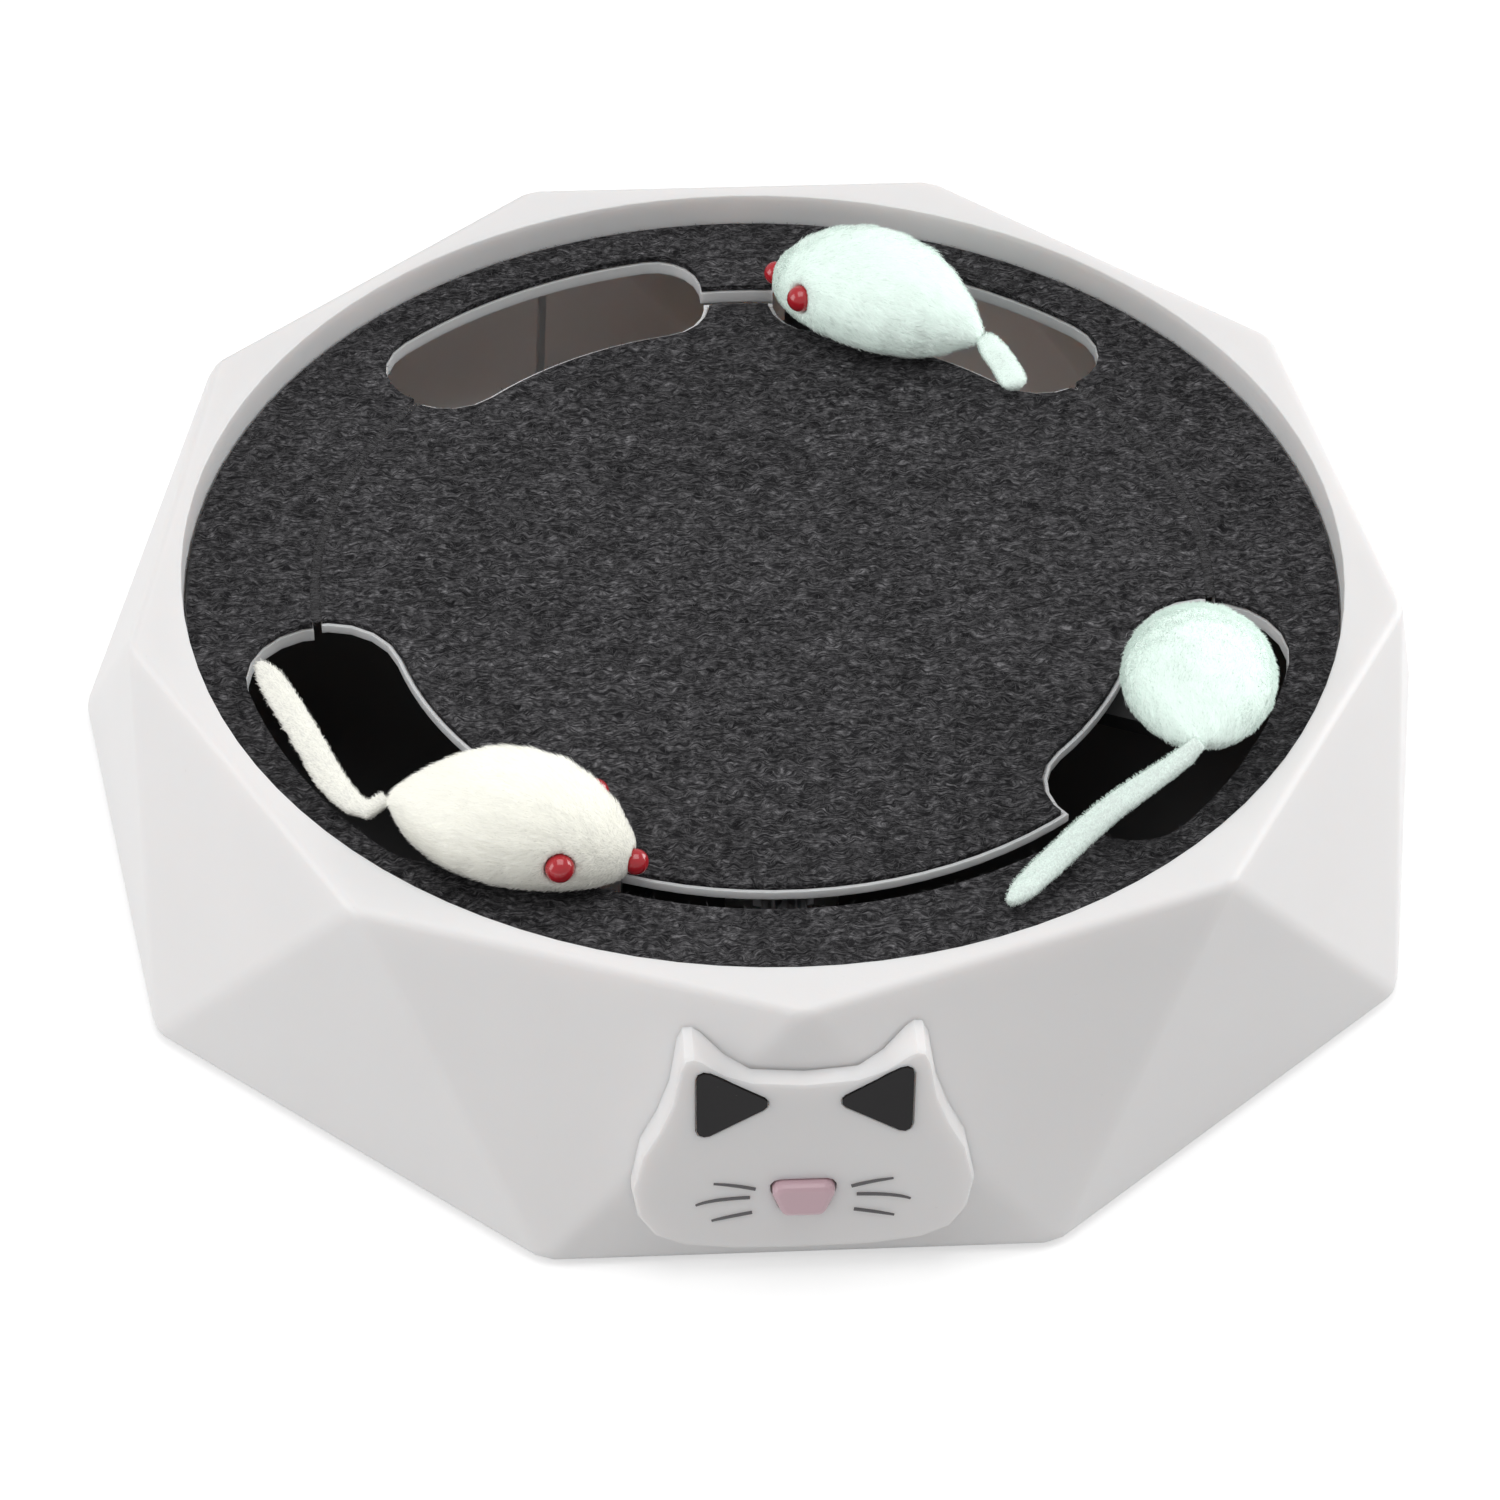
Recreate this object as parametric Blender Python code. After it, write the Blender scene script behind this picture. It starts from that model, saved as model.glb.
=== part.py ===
"""Electric mouse cat toy: a nine-sided housing with a felt deck, and a motor below it that carries
three plush mice round a circular slot. Metres, +Z up, the cat-face plate faces -Y.
The origin is on the rotor's axis, at the surface that the rubber feet stand on."""

import math

import bmesh
import bpy
from mathutils import Matrix, Vector

# Clearances shared by all pieces
GAP = 0.0003
RUNNING_GAP = 0.0003
OVERRUN = 0.003

# Housing: the rim's radius drives the others
SIDES = 9
RIM_RADIUS = 0.1059
BAND_WIDTH = 0.00367
FLARE = 0.0134
SHELL_WALL = 0.0024
TOP_WALL = 0.003
EDGE_ROUND = 0.0016
EDGE_ROUND_STEPS = 2
FOOT_PROUD = 0.001
RIM_WALL = 0.002
LEDGE_WIDTH = 0.0044
LEDGE_THICKNESS = 0.0022
ROUND_STEPS = 96
RIB_THICKNESS = 0.0012
RIB_DEPTH = 0.0016
RIB_ANGLES = (41, 79, 161, 199, 281, 319)

# Deck and felt
PAD_DEPTH = 0.0066
FELT_THICKNESS = 0.0012
DECK_THICKNESS = 0.0025
FELT_MARGIN = 0.0010
RING_FELT_MARGIN = 0.0002
LIP_HEIGHT = 0.0008
UNDERCUT_WIDTH = 0.0022
UNDERCUT_DEPTH = 0.0016
STEM_TO_RIM = 0.0239
SLOT_INSIDE = 0.0009
SLOT_OUTSIDE = 0.0036
# A window reaches inside and outside of the stems' circle, between two angles from the front
FRONT_WINDOW = {"inside": 0.0123, "outside": 0.0153, "start": 37.9, "end": 83.5,
                "start_round": 0.0114, "end_round": 0.0136}
BACK_WINDOW = {"inside": 0.0089, "outside": 0.0147, "start": 130.2, "end": 175.3,
               "start_round": 0.0115, "end_round": 0.0089}
WINDOW_ARC_STEP = 3.0
CORNER_STEPS = 6

# Base plate and feet
PLATE_THICKNESS = 0.0025
PLATE_RECESS = 0.0005
PLATE_MARGIN = 0.0024
FOOT_RADIUS = 0.007
FOOT_SINK = 0.0008
FOOT_INSET = 0.0065
FOOT_ANGLES = (45, 135, 225, 315)

# Housing screws and the bosses that they turn into
BOSS_RADIUS = 0.0032
BOSS_BITE = 0.0006
BOSS_ANGLES = (60, 120, 180, 240, 300)
SCREW_RADIUS = 0.0011
SCREW_LENGTH = 0.010
SCREW_HEAD_RADIUS = 0.0026
SCREW_HEAD_HEIGHT = 0.001
SCREW_SLOT_WIDTH = 0.0006
SCREW_SLOT_DEPTH = 0.0004

# Centre post, thrust washer and retaining clip
POST_FLANGE_RADIUS = 0.014
POST_FLANGE_THICKNESS = 0.002
POST_SHOULDER_RADIUS = 0.009
POST_RADIUS = 0.006
WASHER_RADIUS = 0.0105
WASHER_THICKNESS = 0.0008
CLIP_RADIUS = 0.0095
CLIP_THICKNESS = 0.0009
CLIP_GROOVE_DEPTH = 0.0008
CLIP_OPENING = 60

# Rotor: hub, three arms, drive gear
HUB_STEPS = 24
HUB_WALL = 0.0035
HUB_FLANGE_RADIUS = 0.016
HUB_FLANGE_THICKNESS = 0.0028
ARM_THICKNESS = 0.003
ARM_CLEARANCE = 0.0017
DECK_CLEARANCE = 0.0053
ARM_WIDTH = 0.009
ARM_END = 0.0045
ARM_SOCKET_DEPTH = 0.002
GEAR_THICKNESS = 0.004
GEAR_CLEARANCE = 0.004
PRESSURE_ANGLE = 25
DRIVE_MODULE = 0.0012
DRIVE_TEETH = 64
DRIVE_PINION_TEETH = 12
MOTOR_MODULE = 0.0008
MOTOR_WHEEL_TEETH = 36
MOTOR_PINION_TEETH = 12
DRIVE_BACKLASH = 0.00012
MOTOR_BACKLASH = 0.0001
WHEEL_THICKNESS = 0.003
WHEEL_RISE = 0.0025
PINION_DROP = 0.0012

# Idler pin and its boss
PIN_RADIUS = 0.001
PIN_CLEARANCE = 0.00012
PIN_HEAD_RADIUS = 0.0022
PIN_HEAD_THICKNESS = 0.001
PIN_SINK = 0.008
IDLER_BOSS_RADIUS = 0.004

# Motor and bracket
MOTOR_WIDTH = 0.020
MOTOR_DEPTH = 0.015
MOTOR_CLEARANCE = 0.0009
MOTOR_NOSE_RADIUS = 0.003
MOTOR_NOSE_HEIGHT = 0.001
MOTOR_CORNER = 0.004
SHAFT_RADIUS = 0.001
SHAFT_SINK = 0.003
BRACKET_WALL = 0.0025
BRACKET_HEIGHT = 0.009

# Stems that carry the mice
STEM_THICKNESS = 0.0009
STEM_WIDTH = 0.005
STEM_RISE = 0.0006
STEM_PIN_RADIUS = 0.0008
STEM_PIN_LENGTH = 0.0038

# Battery box, three AA cells, door
CELL_RADIUS = 0.0071
CELL_LENGTH = 0.0485
CELL_NUB_RADIUS = 0.0026
CELL_NUB_LENGTH = 0.0014
CELL_SPACING = 0.0008
CELL_COUNT = 3
BOX_TO_HUB = 0.0133
BOX_WALL = 0.002
BOX_SLACK = 0.0006
CONTACT_THICKNESS = 0.0005
CONTACT_HEIGHT = 0.010
DOOR_THICKNESS = 0.0016
DOOR_LIP = 0.0022
DOOR_EDGE_STEPS = 6
DOOR_GRIP_WIDTH = 0.016
DOOR_GRIP_DEPTH = 0.003
DOOR_GRIP_SINK = 0.0008

# Cat-face plate
PLATE_PROUD = 0.004
PLATE_DEPTH = 0.014
FACE_ROUND = 0.0011
FACE_HALF_WIDTH = 0.0292
FACE_HEIGHT = 0.0438
FACE_BOTTOM = 0.0052
FACE_OUTLINE_SHARES = (
    (0.00, 0.000), (0.40, 0.006), (0.70, 0.034), (0.87, 0.090), (0.965, 0.190), (1.00, 0.330),
    (0.945, 0.500), (0.845, 0.630), (0.770, 0.765), (0.725, 0.940), (0.690, 0.990), (0.640, 1.000),
    (0.590, 0.985), (0.460, 0.915), (0.300, 0.872), (0.00, 0.855),
)
EAR_THICKNESS = 0.0007
EAR_SINK = 0.0005
EAR_CORNER_SHARES = ((0.625, 0.955), (0.622, 0.583), (0.170, 0.765))
EAR_CORNER_ROUND = 0.0014

# Nose button, circuit board, switch
BUTTON_TOP_HALF_WIDTH = 0.0062
BUTTON_BOTTOM_HALF_WIDTH = 0.0036
BUTTON_LOW = 0.0143
BUTTON_HIGH = 0.0212
BUTTON_CORNER_ROUND = 0.0018
BUTTON_PROUD = 0.0020
BUTTON_TRAVEL = 0.0012
BUTTON_CROWN = 0.0011
BUTTON_FLANGE = 0.0012
BUTTON_FLANGE_THICKNESS = 0.001
BUTTON_STEM_RADIUS = 0.0016
BUTTON_STEM_LENGTH = 0.003
SWITCH_SIZE = 0.006
SWITCH_DEPTH = 0.0032
SWITCH_PLUNGER_RADIUS = 0.0017
SWITCH_PLUNGER_LENGTH = 0.0008
BOARD_WIDTH = 0.034
BOARD_HEIGHT = 0.022
BOARD_THICKNESS = 0.0016
BOARD_POST_WIDTH = 0.004

# Plush mouse, in its own frame: +X ahead, the stem's axis at the origin, z = 0 on the felt
MOUSE_LENGTH = 0.044
MOUSE_HALF_WIDTH = 0.0135
MOUSE_HEIGHT = 0.018
MOUSE_CLEARANCE = 0.0008
NOSE_TO_STEM = 0.005
NOSE_RADIUS = 0.0023
NOSE_HEIGHT_SHARE = 0.24
EYE_RADIUS = 0.0026
EYE_BACK_SHARE = 0.2386
EYE_SIDE_SHARE = 0.715
EYE_HEIGHT_SHARE = 0.49
BODY_STEPS = 18
SECTION_WAIST_SHARE = 0.40
BELLY_POWER = 0.72
# along, half width, lowest, highest: shares of the length, half width and height
BODY_SHARES = (
    (0.000, 0.15, 0.10, 0.34), (0.045, 0.34, 0.04, 0.50), (0.120, 0.58, 0.01, 0.71),
    (0.230, 0.80, 0.00, 0.88), (0.360, 0.95, 0.00, 0.98), (0.500, 1.00, 0.00, 1.00),
    (0.640, 0.94, 0.00, 0.95), (0.770, 0.76, 0.01, 0.83), (0.880, 0.51, 0.06, 0.65),
    (0.955, 0.28, 0.15, 0.50), (1.000, 0.13, 0.24, 0.38),
)
TAIL_LENGTH = 0.050
TAIL_GAP = 0.0013
TAIL_HALF_WIDTH = 0.0028
TAIL_HALF_THICKNESS = 0.0015
TAIL_STEPS = 8
TAIL_RINGS = 14
# along, width: the tail is narrower at its root and rounded at its end
TAIL_WIDTH_SHARES = ((0.0, 0.55), (0.10, 0.80), (0.30, 1.0), (0.80, 1.0), (0.93, 0.85), (1.0, 0.35))

# Where each mouse stands. stem: degrees about the rotor's axis. lean: degrees that its rump is
# turned outwards from the stems' circle. pitch: degrees that its rump is raised. The tail's points
# are back, left and up from the rump, as shares of the tail's length.
MICE = {
    "a": {"stem": -112.4, "lean": 16.2, "pitch": 0.0, "tail_shares": (
        (0.09, -0.045, 0.088), (0.234, 0.056, 0.066), (0.346, 0.18, 0.064), (0.461, 0.31, 0.064),
        (0.567, 0.424, 0.064), (0.661, 0.526, 0.064), (0.714, 0.575, 0.064))},
    "b": {"stem": -22.0, "lean": 28.2, "pitch": 18.0, "tail_shares": (
        (0.03, 0.06, 0.325), (0.065, 0.165, 0.24), (0.13, 0.30, 0.15), (0.29, 0.46, 0.08),
        (0.519, 0.622, 0.064))},
    "c": {"stem": 81.8, "lean": -10.0, "pitch": 0.0, "tail_shares": (
        (0.09, 0.039, 0.11), (0.16, 0.074, 0.08), (0.237, 0.139, 0.064))},
}

# Colours and finishes: red, green, blue, roughness, metallic
FINISHES = {
    "white_plastic": (0.84, 0.83, 0.83, 0.42, 0.0),
    "felt": (0.045, 0.043, 0.050, 0.95, 0.0),
    "dark_plastic": (0.012, 0.012, 0.013, 0.6, 0.0),
    "cream_plush": (0.80, 0.78, 0.66, 0.95, 0.0),
    "mint_plush": (0.72, 0.86, 0.79, 0.95, 0.0),
    "red_bead": (0.55, 0.02, 0.03, 0.35, 0.0),
    "ear_plastic": (0.045, 0.040, 0.043, 0.5, 0.0),
    "pink_plastic": (0.60, 0.40, 0.42, 0.4, 0.0),
    "steel": (0.55, 0.55, 0.56, 0.35, 1.0),
    "nylon": (0.78, 0.77, 0.72, 0.5, 0.0),
    "rubber": (0.03, 0.03, 0.03, 0.8, 0.0),
    "board": (0.03, 0.20, 0.08, 0.5, 0.0),
    "cell_wrap": (0.10, 0.22, 0.34, 0.4, 0.0),
}

# Sizes that follow from those above
HALF_STEP = math.pi / SIDES
TOP_RADIUS = (RIM_RADIUS + BAND_WIDTH) / math.cos(HALF_STEP)
BOTTOM_RADIUS = TOP_RADIUS + FLARE
STEM_CIRCLE = RIM_RADIUS - STEM_TO_RIM
BOSS_CIRCLE = RIM_RADIUS + RIM_WALL + BOSS_RADIUS - BOSS_BITE
FOOT_CIRCLE = BOSS_CIRCLE - FOOT_INSET
CELL_PITCH = 2 * CELL_RADIUS + CELL_SPACING
BOX_WIDTH = CELL_LENGTH + CELL_NUB_LENGTH + 2 * (CONTACT_THICKNESS + 2 * BOX_SLACK)
BOX_DEPTH = CELL_PITCH * (CELL_COUNT - 1) + 2 * CELL_RADIUS + 2 * BOX_SLACK
BOX_CENTRE_Y = HUB_FLANGE_RADIUS + BOX_TO_HUB + BOX_DEPTH / 2
HUB_INNER_RADIUS = POST_RADIUS + RUNNING_GAP
HUB_OUTER_RADIUS = HUB_INNER_RADIUS + HUB_WALL
DRIVE_CENTRES = DRIVE_MODULE * (DRIVE_TEETH + DRIVE_PINION_TEETH) / 2
MOTOR_CENTRES = MOTOR_MODULE * (MOTOR_WHEEL_TEETH + MOTOR_PINION_TEETH) / 2
IDLER_Y = -DRIVE_CENTRES
MOTOR_Y = IDLER_Y - MOTOR_CENTRES

# Heights, stacked from the ground up
PLATE_BOTTOM = FOOT_PROUD + PLATE_RECESS
PLATE_TOP = PLATE_BOTTOM + PLATE_THICKNESS
SEAT = PLATE_TOP + GAP
BOX_FLOOR = PLATE_BOTTOM + DOOR_THICKNESS + 2 * GAP
BOX_CEILING = BOX_FLOOR + 2 * CELL_RADIUS + BOX_SLACK
BOX_TOP = BOX_CEILING + BOX_WALL
GEAR_BOTTOM = BOX_TOP + GEAR_CLEARANCE
HUB_BOTTOM = GEAR_BOTTOM - GAP - HUB_FLANGE_THICKNESS
WASHER_BOTTOM = HUB_BOTTOM - GAP - WASHER_THICKNESS
SHOULDER_TOP = WASHER_BOTTOM - GAP
GEAR_TOP = GEAR_BOTTOM + GEAR_THICKNESS
PINION_BOTTOM = GEAR_BOTTOM - PINION_DROP
WHEEL_BOTTOM = GEAR_TOP + WHEEL_RISE
WHEEL_TOP = WHEEL_BOTTOM + WHEEL_THICKNESS
MOTOR_TOP = WHEEL_BOTTOM - GAP - MOTOR_CLEARANCE - MOTOR_NOSE_HEIGHT
ARM_BOTTOM = WHEEL_TOP + GAP + PIN_HEAD_THICKNESS + ARM_CLEARANCE
ARM_TOP = ARM_BOTTOM + ARM_THICKNESS
CLIP_BOTTOM = ARM_TOP + GAP
DECK_BOTTOM = ARM_TOP + DECK_CLEARANCE
LEDGE_TOP = DECK_BOTTOM - GAP
LEDGE_BOTTOM = LEDGE_TOP - LEDGE_THICKNESS
DECK_TOP = DECK_BOTTOM + DECK_THICKNESS
FELT_BOTTOM = DECK_TOP + GAP
PAD_TOP = FELT_BOTTOM + FELT_THICKNESS
SHELL_TOP = PAD_TOP + PAD_DEPTH
SHELL_HEIGHT = SHELL_TOP - FOOT_PROUD


def polar(radius, degrees, height=0.0):
    """A point at an angle measured from the front, -Y, towards +X."""
    turn = math.radians(degrees)
    return Vector((radius * math.sin(turn), -radius * math.cos(turn), height))


def material(name):
    """The named finish as a Principled material, made once."""
    found = bpy.data.materials.get(name)
    if found:
        return found
    red, green, blue, roughness, metallic = FINISHES[name]
    made = bpy.data.materials.new(name)
    made.use_nodes = True
    shader = made.node_tree.nodes["Principled BSDF"]
    shader.inputs["Base Color"].default_value = (red, green, blue, 1.0)
    shader.inputs["Roughness"].default_value = roughness
    shader.inputs["Metallic"].default_value = metallic
    made.diffuse_color = (red, green, blue, 1.0)
    return made


def place(name, bm, finish, parent=None, smooth=None):
    """Turn a bmesh into a named object with its finish."""
    bmesh.ops.recalc_face_normals(bm, faces=bm.faces[:])
    mesh = bpy.data.meshes.new(name)
    bm.to_mesh(mesh)
    bm.free()
    if smooth is not None:
        mesh.shade_smooth()
        mesh.set_sharp_from_angle(angle=math.radians(smooth))
    mesh.materials.append(material(finish))
    made = bpy.data.objects.new(name, mesh)
    bpy.context.collection.objects.link(made)
    made.parent = parent
    return made


def guide(bm):
    """A cutter, which is left out of the model."""
    made = place("cutter", bm, "steel")
    made.hide_render = True
    made.display_type = "WIRE"
    return made


def combine(target, tool, operation="DIFFERENCE"):
    """Cut a shape from an object, or join one to it, and keep the result as its mesh."""
    cutter = guide(tool)
    modifier = target.modifiers.new(operation.title(), "BOOLEAN")
    modifier.operation = operation
    modifier.solver = "EXACT"
    modifier.object = cutter
    graph = bpy.context.evaluated_depsgraph_get()
    result = bpy.data.meshes.new_from_object(target.evaluated_get(graph))
    target.modifiers.clear()
    old = target.data
    result.name = old.name
    target.data = result
    bpy.data.meshes.remove(old)
    used = cutter.data
    bpy.data.objects.remove(cutter)
    bpy.data.meshes.remove(used)


def axis_empty(name, location, rotation=(0.0, 0.0, 0.0)):
    made = bpy.data.objects.new(name, None)
    made.location = location
    made.rotation_euler = rotation
    bpy.context.collection.objects.link(made)
    return made


def prism(outline, low, high):
    """An outline of (x, y) points, given thickness from one height to another."""
    bm = bmesh.new()
    ring = [bm.verts.new((point[0], point[1], low)) for point in outline]
    floor = bm.faces.new(ring)
    lifted = bmesh.ops.extrude_face_region(bm, geom=[floor])["geom"]
    top = [item for item in lifted if isinstance(item, bmesh.types.BMVert)]
    bmesh.ops.translate(bm, verts=top, vec=(0.0, 0.0, high - low))
    return bm


def circle(radius, steps, centre=(0.0, 0.0), phase=0.0):
    turn = 2 * math.pi / steps
    turns = [phase + i * turn for i in range(steps)]
    return [(centre[0] + radius * math.cos(at), centre[1] + radius * math.sin(at)) for at in turns]


def disc(radius, low, high, steps, centre=(0.0, 0.0)):
    return prism(circle(radius, steps, centre), low, high)


def block(width, depth, low, high, centre=(0.0, 0.0)):
    half_x, half_y = width / 2, depth / 2
    corners = ((-half_x, -half_y), (half_x, -half_y), (half_x, half_y), (-half_x, half_y))
    return prism([(centre[0] + x, centre[1] + y) for x, y in corners], low, high)


def rounded(corners, radius, steps):
    """An outline whose convex corners are arcs of one radius."""
    points = []
    count = len(corners)
    for i in range(count):
        here = Vector(corners[i])
        back = (Vector(corners[i - 1]) - here).normalized()
        ahead = (Vector(corners[(i + 1) % count]) - here).normalized()
        half = back.angle(ahead) / 2
        centre = here + (back + ahead).normalized() * (radius / math.sin(half))
        start = here + back * (radius / math.tan(half)) - centre
        finish = here + ahead * (radius / math.tan(half)) - centre
        sweep = start.angle_signed(finish)
        for k in range(steps + 1):
            turn = -sweep * k / steps
            spoke = Vector((start.x * math.cos(turn) - start.y * math.sin(turn),
                            start.x * math.sin(turn) + start.y * math.cos(turn)))
            points.append(tuple(centre + spoke))
    return points


def moved(bm, matrix):
    bmesh.ops.transform(bm, matrix=matrix, verts=bm.verts[:])
    return bm


def turned(profile, steps, centre=(0.0, 0.0)):
    """A closed turned piece. The profile lists (radius, height); a radius of zero is on the axis."""
    bm = bmesh.new()
    rings = []
    for radius, height in profile:
        if radius == 0.0:
            rings.append([bm.verts.new((centre[0], centre[1], height))])
        else:
            rings.append([bm.verts.new((x, y, height)) for x, y in circle(radius, steps, centre)])
    closed = profile[0][0] > 0.0
    last = len(rings) if closed else len(rings) - 1
    for i in range(last):
        below, above = rings[i], rings[(i + 1) % len(rings)]
        for k in range(steps):
            n = (k + 1) % steps
            low_side = [below[k % len(below)], below[n % len(below)]]
            high_side = [above[n % len(above)], above[k % len(above)]]
            corners = list(dict.fromkeys(low_side + high_side))
            if len(corners) > 2:
                bm.faces.new(corners)
    return bm


def loft(rings):
    """A closed skin over rings of equally many points, with a flat cap at each end."""
    bm = bmesh.new()
    loops = [[bm.verts.new(point) for point in ring] for ring in rings]
    steps = len(loops[0])
    for below, above in zip(loops, loops[1:]):
        for k in range(steps):
            n = (k + 1) % steps
            bm.faces.new((below[k], below[n], above[n], above[k]))
    bm.faces.new(loops[0][::-1])
    bm.faces.new(loops[-1])
    return bm


def ball(radius, centre, rings=6, steps=10):
    bm = bmesh.new()
    bmesh.ops.create_uvsphere(bm, u_segments=steps, v_segments=rings, radius=radius)
    return moved(bm, Matrix.Translation(centre))


def between(table, share):
    """Read a table of (share, value) pairs at one share, in straight runs."""
    for (low, first), (high, second) in zip(table, table[1:]):
        if share <= high:
            return first + (second - first) * (share - low) / (high - low)
    return table[-1][1]


def antiprism(offset=0.0, low=FOOT_PROUD, high=SHELL_TOP):
    """The nine-sided housing's outside, with triangles between a lower and a turned upper outline.
    A positive offset lies inside it, parallel to its facets."""
    lower_inradius = BOTTOM_RADIUS * math.cos(HALF_STEP)
    upper_inradius = TOP_RADIUS * math.cos(HALF_STEP)
    lower_lean = math.atan((lower_inradius - TOP_RADIUS) / SHELL_HEIGHT)
    upper_lean = math.atan((BOTTOM_RADIUS - upper_inradius) / SHELL_HEIGHT)
    lower = (lower_inradius - offset / math.cos(lower_lean)) / math.cos(HALF_STEP)
    upper = (upper_inradius - offset / math.cos(upper_lean)) / math.cos(HALF_STEP)
    bm = bmesh.new()
    step = 360 / SIDES
    below = [bm.verts.new(polar(lower, (i + 0.5) * step, low)) for i in range(SIDES)]
    above = [bm.verts.new(polar(upper, i * step, high)) for i in range(SIDES)]
    for i in range(SIDES):
        n = (i + 1) % SIDES
        bm.faces.new((below[i - 1], below[i], above[i]))
        bm.faces.new((above[i], below[i], above[n]))
    bm.faces.new(below[::-1])
    bm.faces.new(above)
    return bm


def cavity():
    """The room inside the housing, less the skirt, bosses and ribs that stand in it."""
    room = place("room", antiprism(SHELL_WALL, FOOT_PROUD - OVERRUN, SHELL_TOP - TOP_WALL), "steel")
    combine(room, disc(RIM_RADIUS + RIM_WALL, LEDGE_BOTTOM, SHELL_TOP, ROUND_STEPS))
    for angle in BOSS_ANGLES:
        spot = polar(BOSS_CIRCLE, angle)
        combine(room, disc(BOSS_RADIUS, SEAT, SHELL_TOP, 16, spot))
    for angle in RIB_ANGLES:
        bar = block(RIB_THICKNESS, BOTTOM_RADIUS - RIM_RADIUS, SEAT + OVERRUN, SHELL_TOP,
                    (0.0, -(BOTTOM_RADIUS + RIM_RADIUS) / 2))
        rib = place("rib", moved(bar, Matrix.Rotation(math.radians(angle), 4, "Z")), "steel")
        combine(rib, antiprism(SHELL_WALL + RIB_DEPTH, FOOT_PROUD - OVERRUN, SHELL_TOP))
        fin = bmesh.new()
        fin.from_mesh(rib.data)
        bpy.data.objects.remove(rib)
        combine(room, fin)
    result = bmesh.new()
    result.from_mesh(room.data)
    bpy.data.objects.remove(room)
    return result


def front_frame():
    """The plane of the front facet: x to the right, y up the facet, z outwards."""
    foot = Vector((0.0, -BOTTOM_RADIUS * math.cos(HALF_STEP), FOOT_PROUD))
    top = Vector((0.0, -TOP_RADIUS, SHELL_TOP))
    up = (top - foot).normalized()
    return foot, math.atan2(up.z, up.y)


def make_shell(front):
    bm = antiprism()
    bmesh.ops.bevel(bm, geom=bm.edges[:], offset=EDGE_ROUND, segments=EDGE_ROUND_STEPS, profile=0.5,
                    affect="EDGES", clamp_overlap=True)
    shell = place("outer_shell", bm, "white_plastic", smooth=20)
    combine(shell, cavity())
    combine(shell, disc(RIM_RADIUS, LEDGE_TOP, SHELL_TOP + OVERRUN, ROUND_STEPS))
    combine(shell, disc(RIM_RADIUS - LEDGE_WIDTH, LEDGE_BOTTOM - OVERRUN, SHELL_TOP, ROUND_STEPS))
    for angle in BOSS_ANGLES:
        spot = polar(BOSS_CIRCLE, angle)
        combine(shell, disc(SCREW_RADIUS + GAP, FOOT_PROUD, PLATE_BOTTOM + SCREW_LENGTH + OVERRUN, 12, spot))
    opening = rounded(button_corners(BUTTON_FLANGE + GAP), BUTTON_CORNER_ROUND, 3)
    hole = moved(prism(opening, -SHELL_WALL - OVERRUN, OVERRUN), front.matrix_world)
    combine(shell, hole)


def button_corners(margin):
    low, high = BUTTON_LOW - margin, BUTTON_HIGH + margin
    return ((-BUTTON_BOTTOM_HALF_WIDTH - margin, low), (BUTTON_BOTTOM_HALF_WIDTH + margin, low),
            (BUTTON_TOP_HALF_WIDTH + margin, high), (-BUTTON_TOP_HALF_WIDTH - margin, high))


def bean(window, side, low, high, margin=0.0):
    """A window with rounded corners, on one side of the front axis, as a prism."""
    inner = STEM_CIRCLE - window["inside"] - margin
    outer = STEM_CIRCLE + window["outside"] + margin
    corners = (("end", outer, 0), ("end", inner, 90), ("start", inner, 180), ("start", outer, 90))
    points, angles = [], []
    for which, edge, first in corners:
        way = 1 if which == "end" else -1
        size = min(window[which + "_round"] + margin, (outer - inner) / 2)
        radius = outer - size if edge == outer else inner + size
        reach = math.degrees(margin / STEM_CIRCLE - math.asin(size / radius))
        angle = window[which] + way * reach
        angles.append(angle)
        if which == "start" and edge == inner:
            points += arc(inner, angles[1], angle)
        out, along = polar(1.0, angle), polar(way, angle + 90)
        for k in range(CORNER_STEPS):
            turn = math.radians(first + way * 90 * k / (CORNER_STEPS - 1))
            point = polar(radius, angle) + (out * math.cos(turn) + along * math.sin(turn)) * size
            if not points or (point - points[-1]).length > GAP:
                points.append(point)
    points += arc(outer, angles[3], angles[0])
    return prism([(side * point.x, point.y) for point in points], low, high)


def arc(radius, first, last):
    """Points of an arc between two angles, without its ends."""
    steps = max(2, round(abs(last - first) / WINDOW_ARC_STEP))
    return [polar(radius, first + (last - first) * k / steps) for k in range(1, steps)]


def slot_edge(open_radius, narrow_radius):
    """The slot's edge: open along the front and the back, narrow past the windows' far ends."""
    middle_front = (FRONT_WINDOW["start"] + FRONT_WINDOW["end"]) / 2
    middle_back = (BACK_WINDOW["start"] + BACK_WINDOW["end"]) / 2
    points = []
    for i in range(ROUND_STEPS):
        angle = (i + 0.5) * 360 / ROUND_STEPS
        folded = min(angle, 360 - angle)
        radius = narrow_radius if middle_front < folded < middle_back else open_radius
        points.append(tuple(polar(radius, angle))[:2])
    return points


def disc_layer(name, finish, low, high, margin, narrow_margin):
    """One layer of the deck inside the slot and the windows."""
    narrow = STEM_CIRCLE - STEM_THICKNESS / 2 - RUNNING_GAP
    edge = slot_edge(STEM_CIRCLE - SLOT_INSIDE - margin, narrow - narrow_margin)
    made = place(name, prism(edge, low, high), finish)
    for window in (FRONT_WINDOW, BACK_WINDOW):
        for side in (-1, 1):
            combine(made, bean(window, side, low - OVERRUN, high + OVERRUN, margin))
    return made


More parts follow.
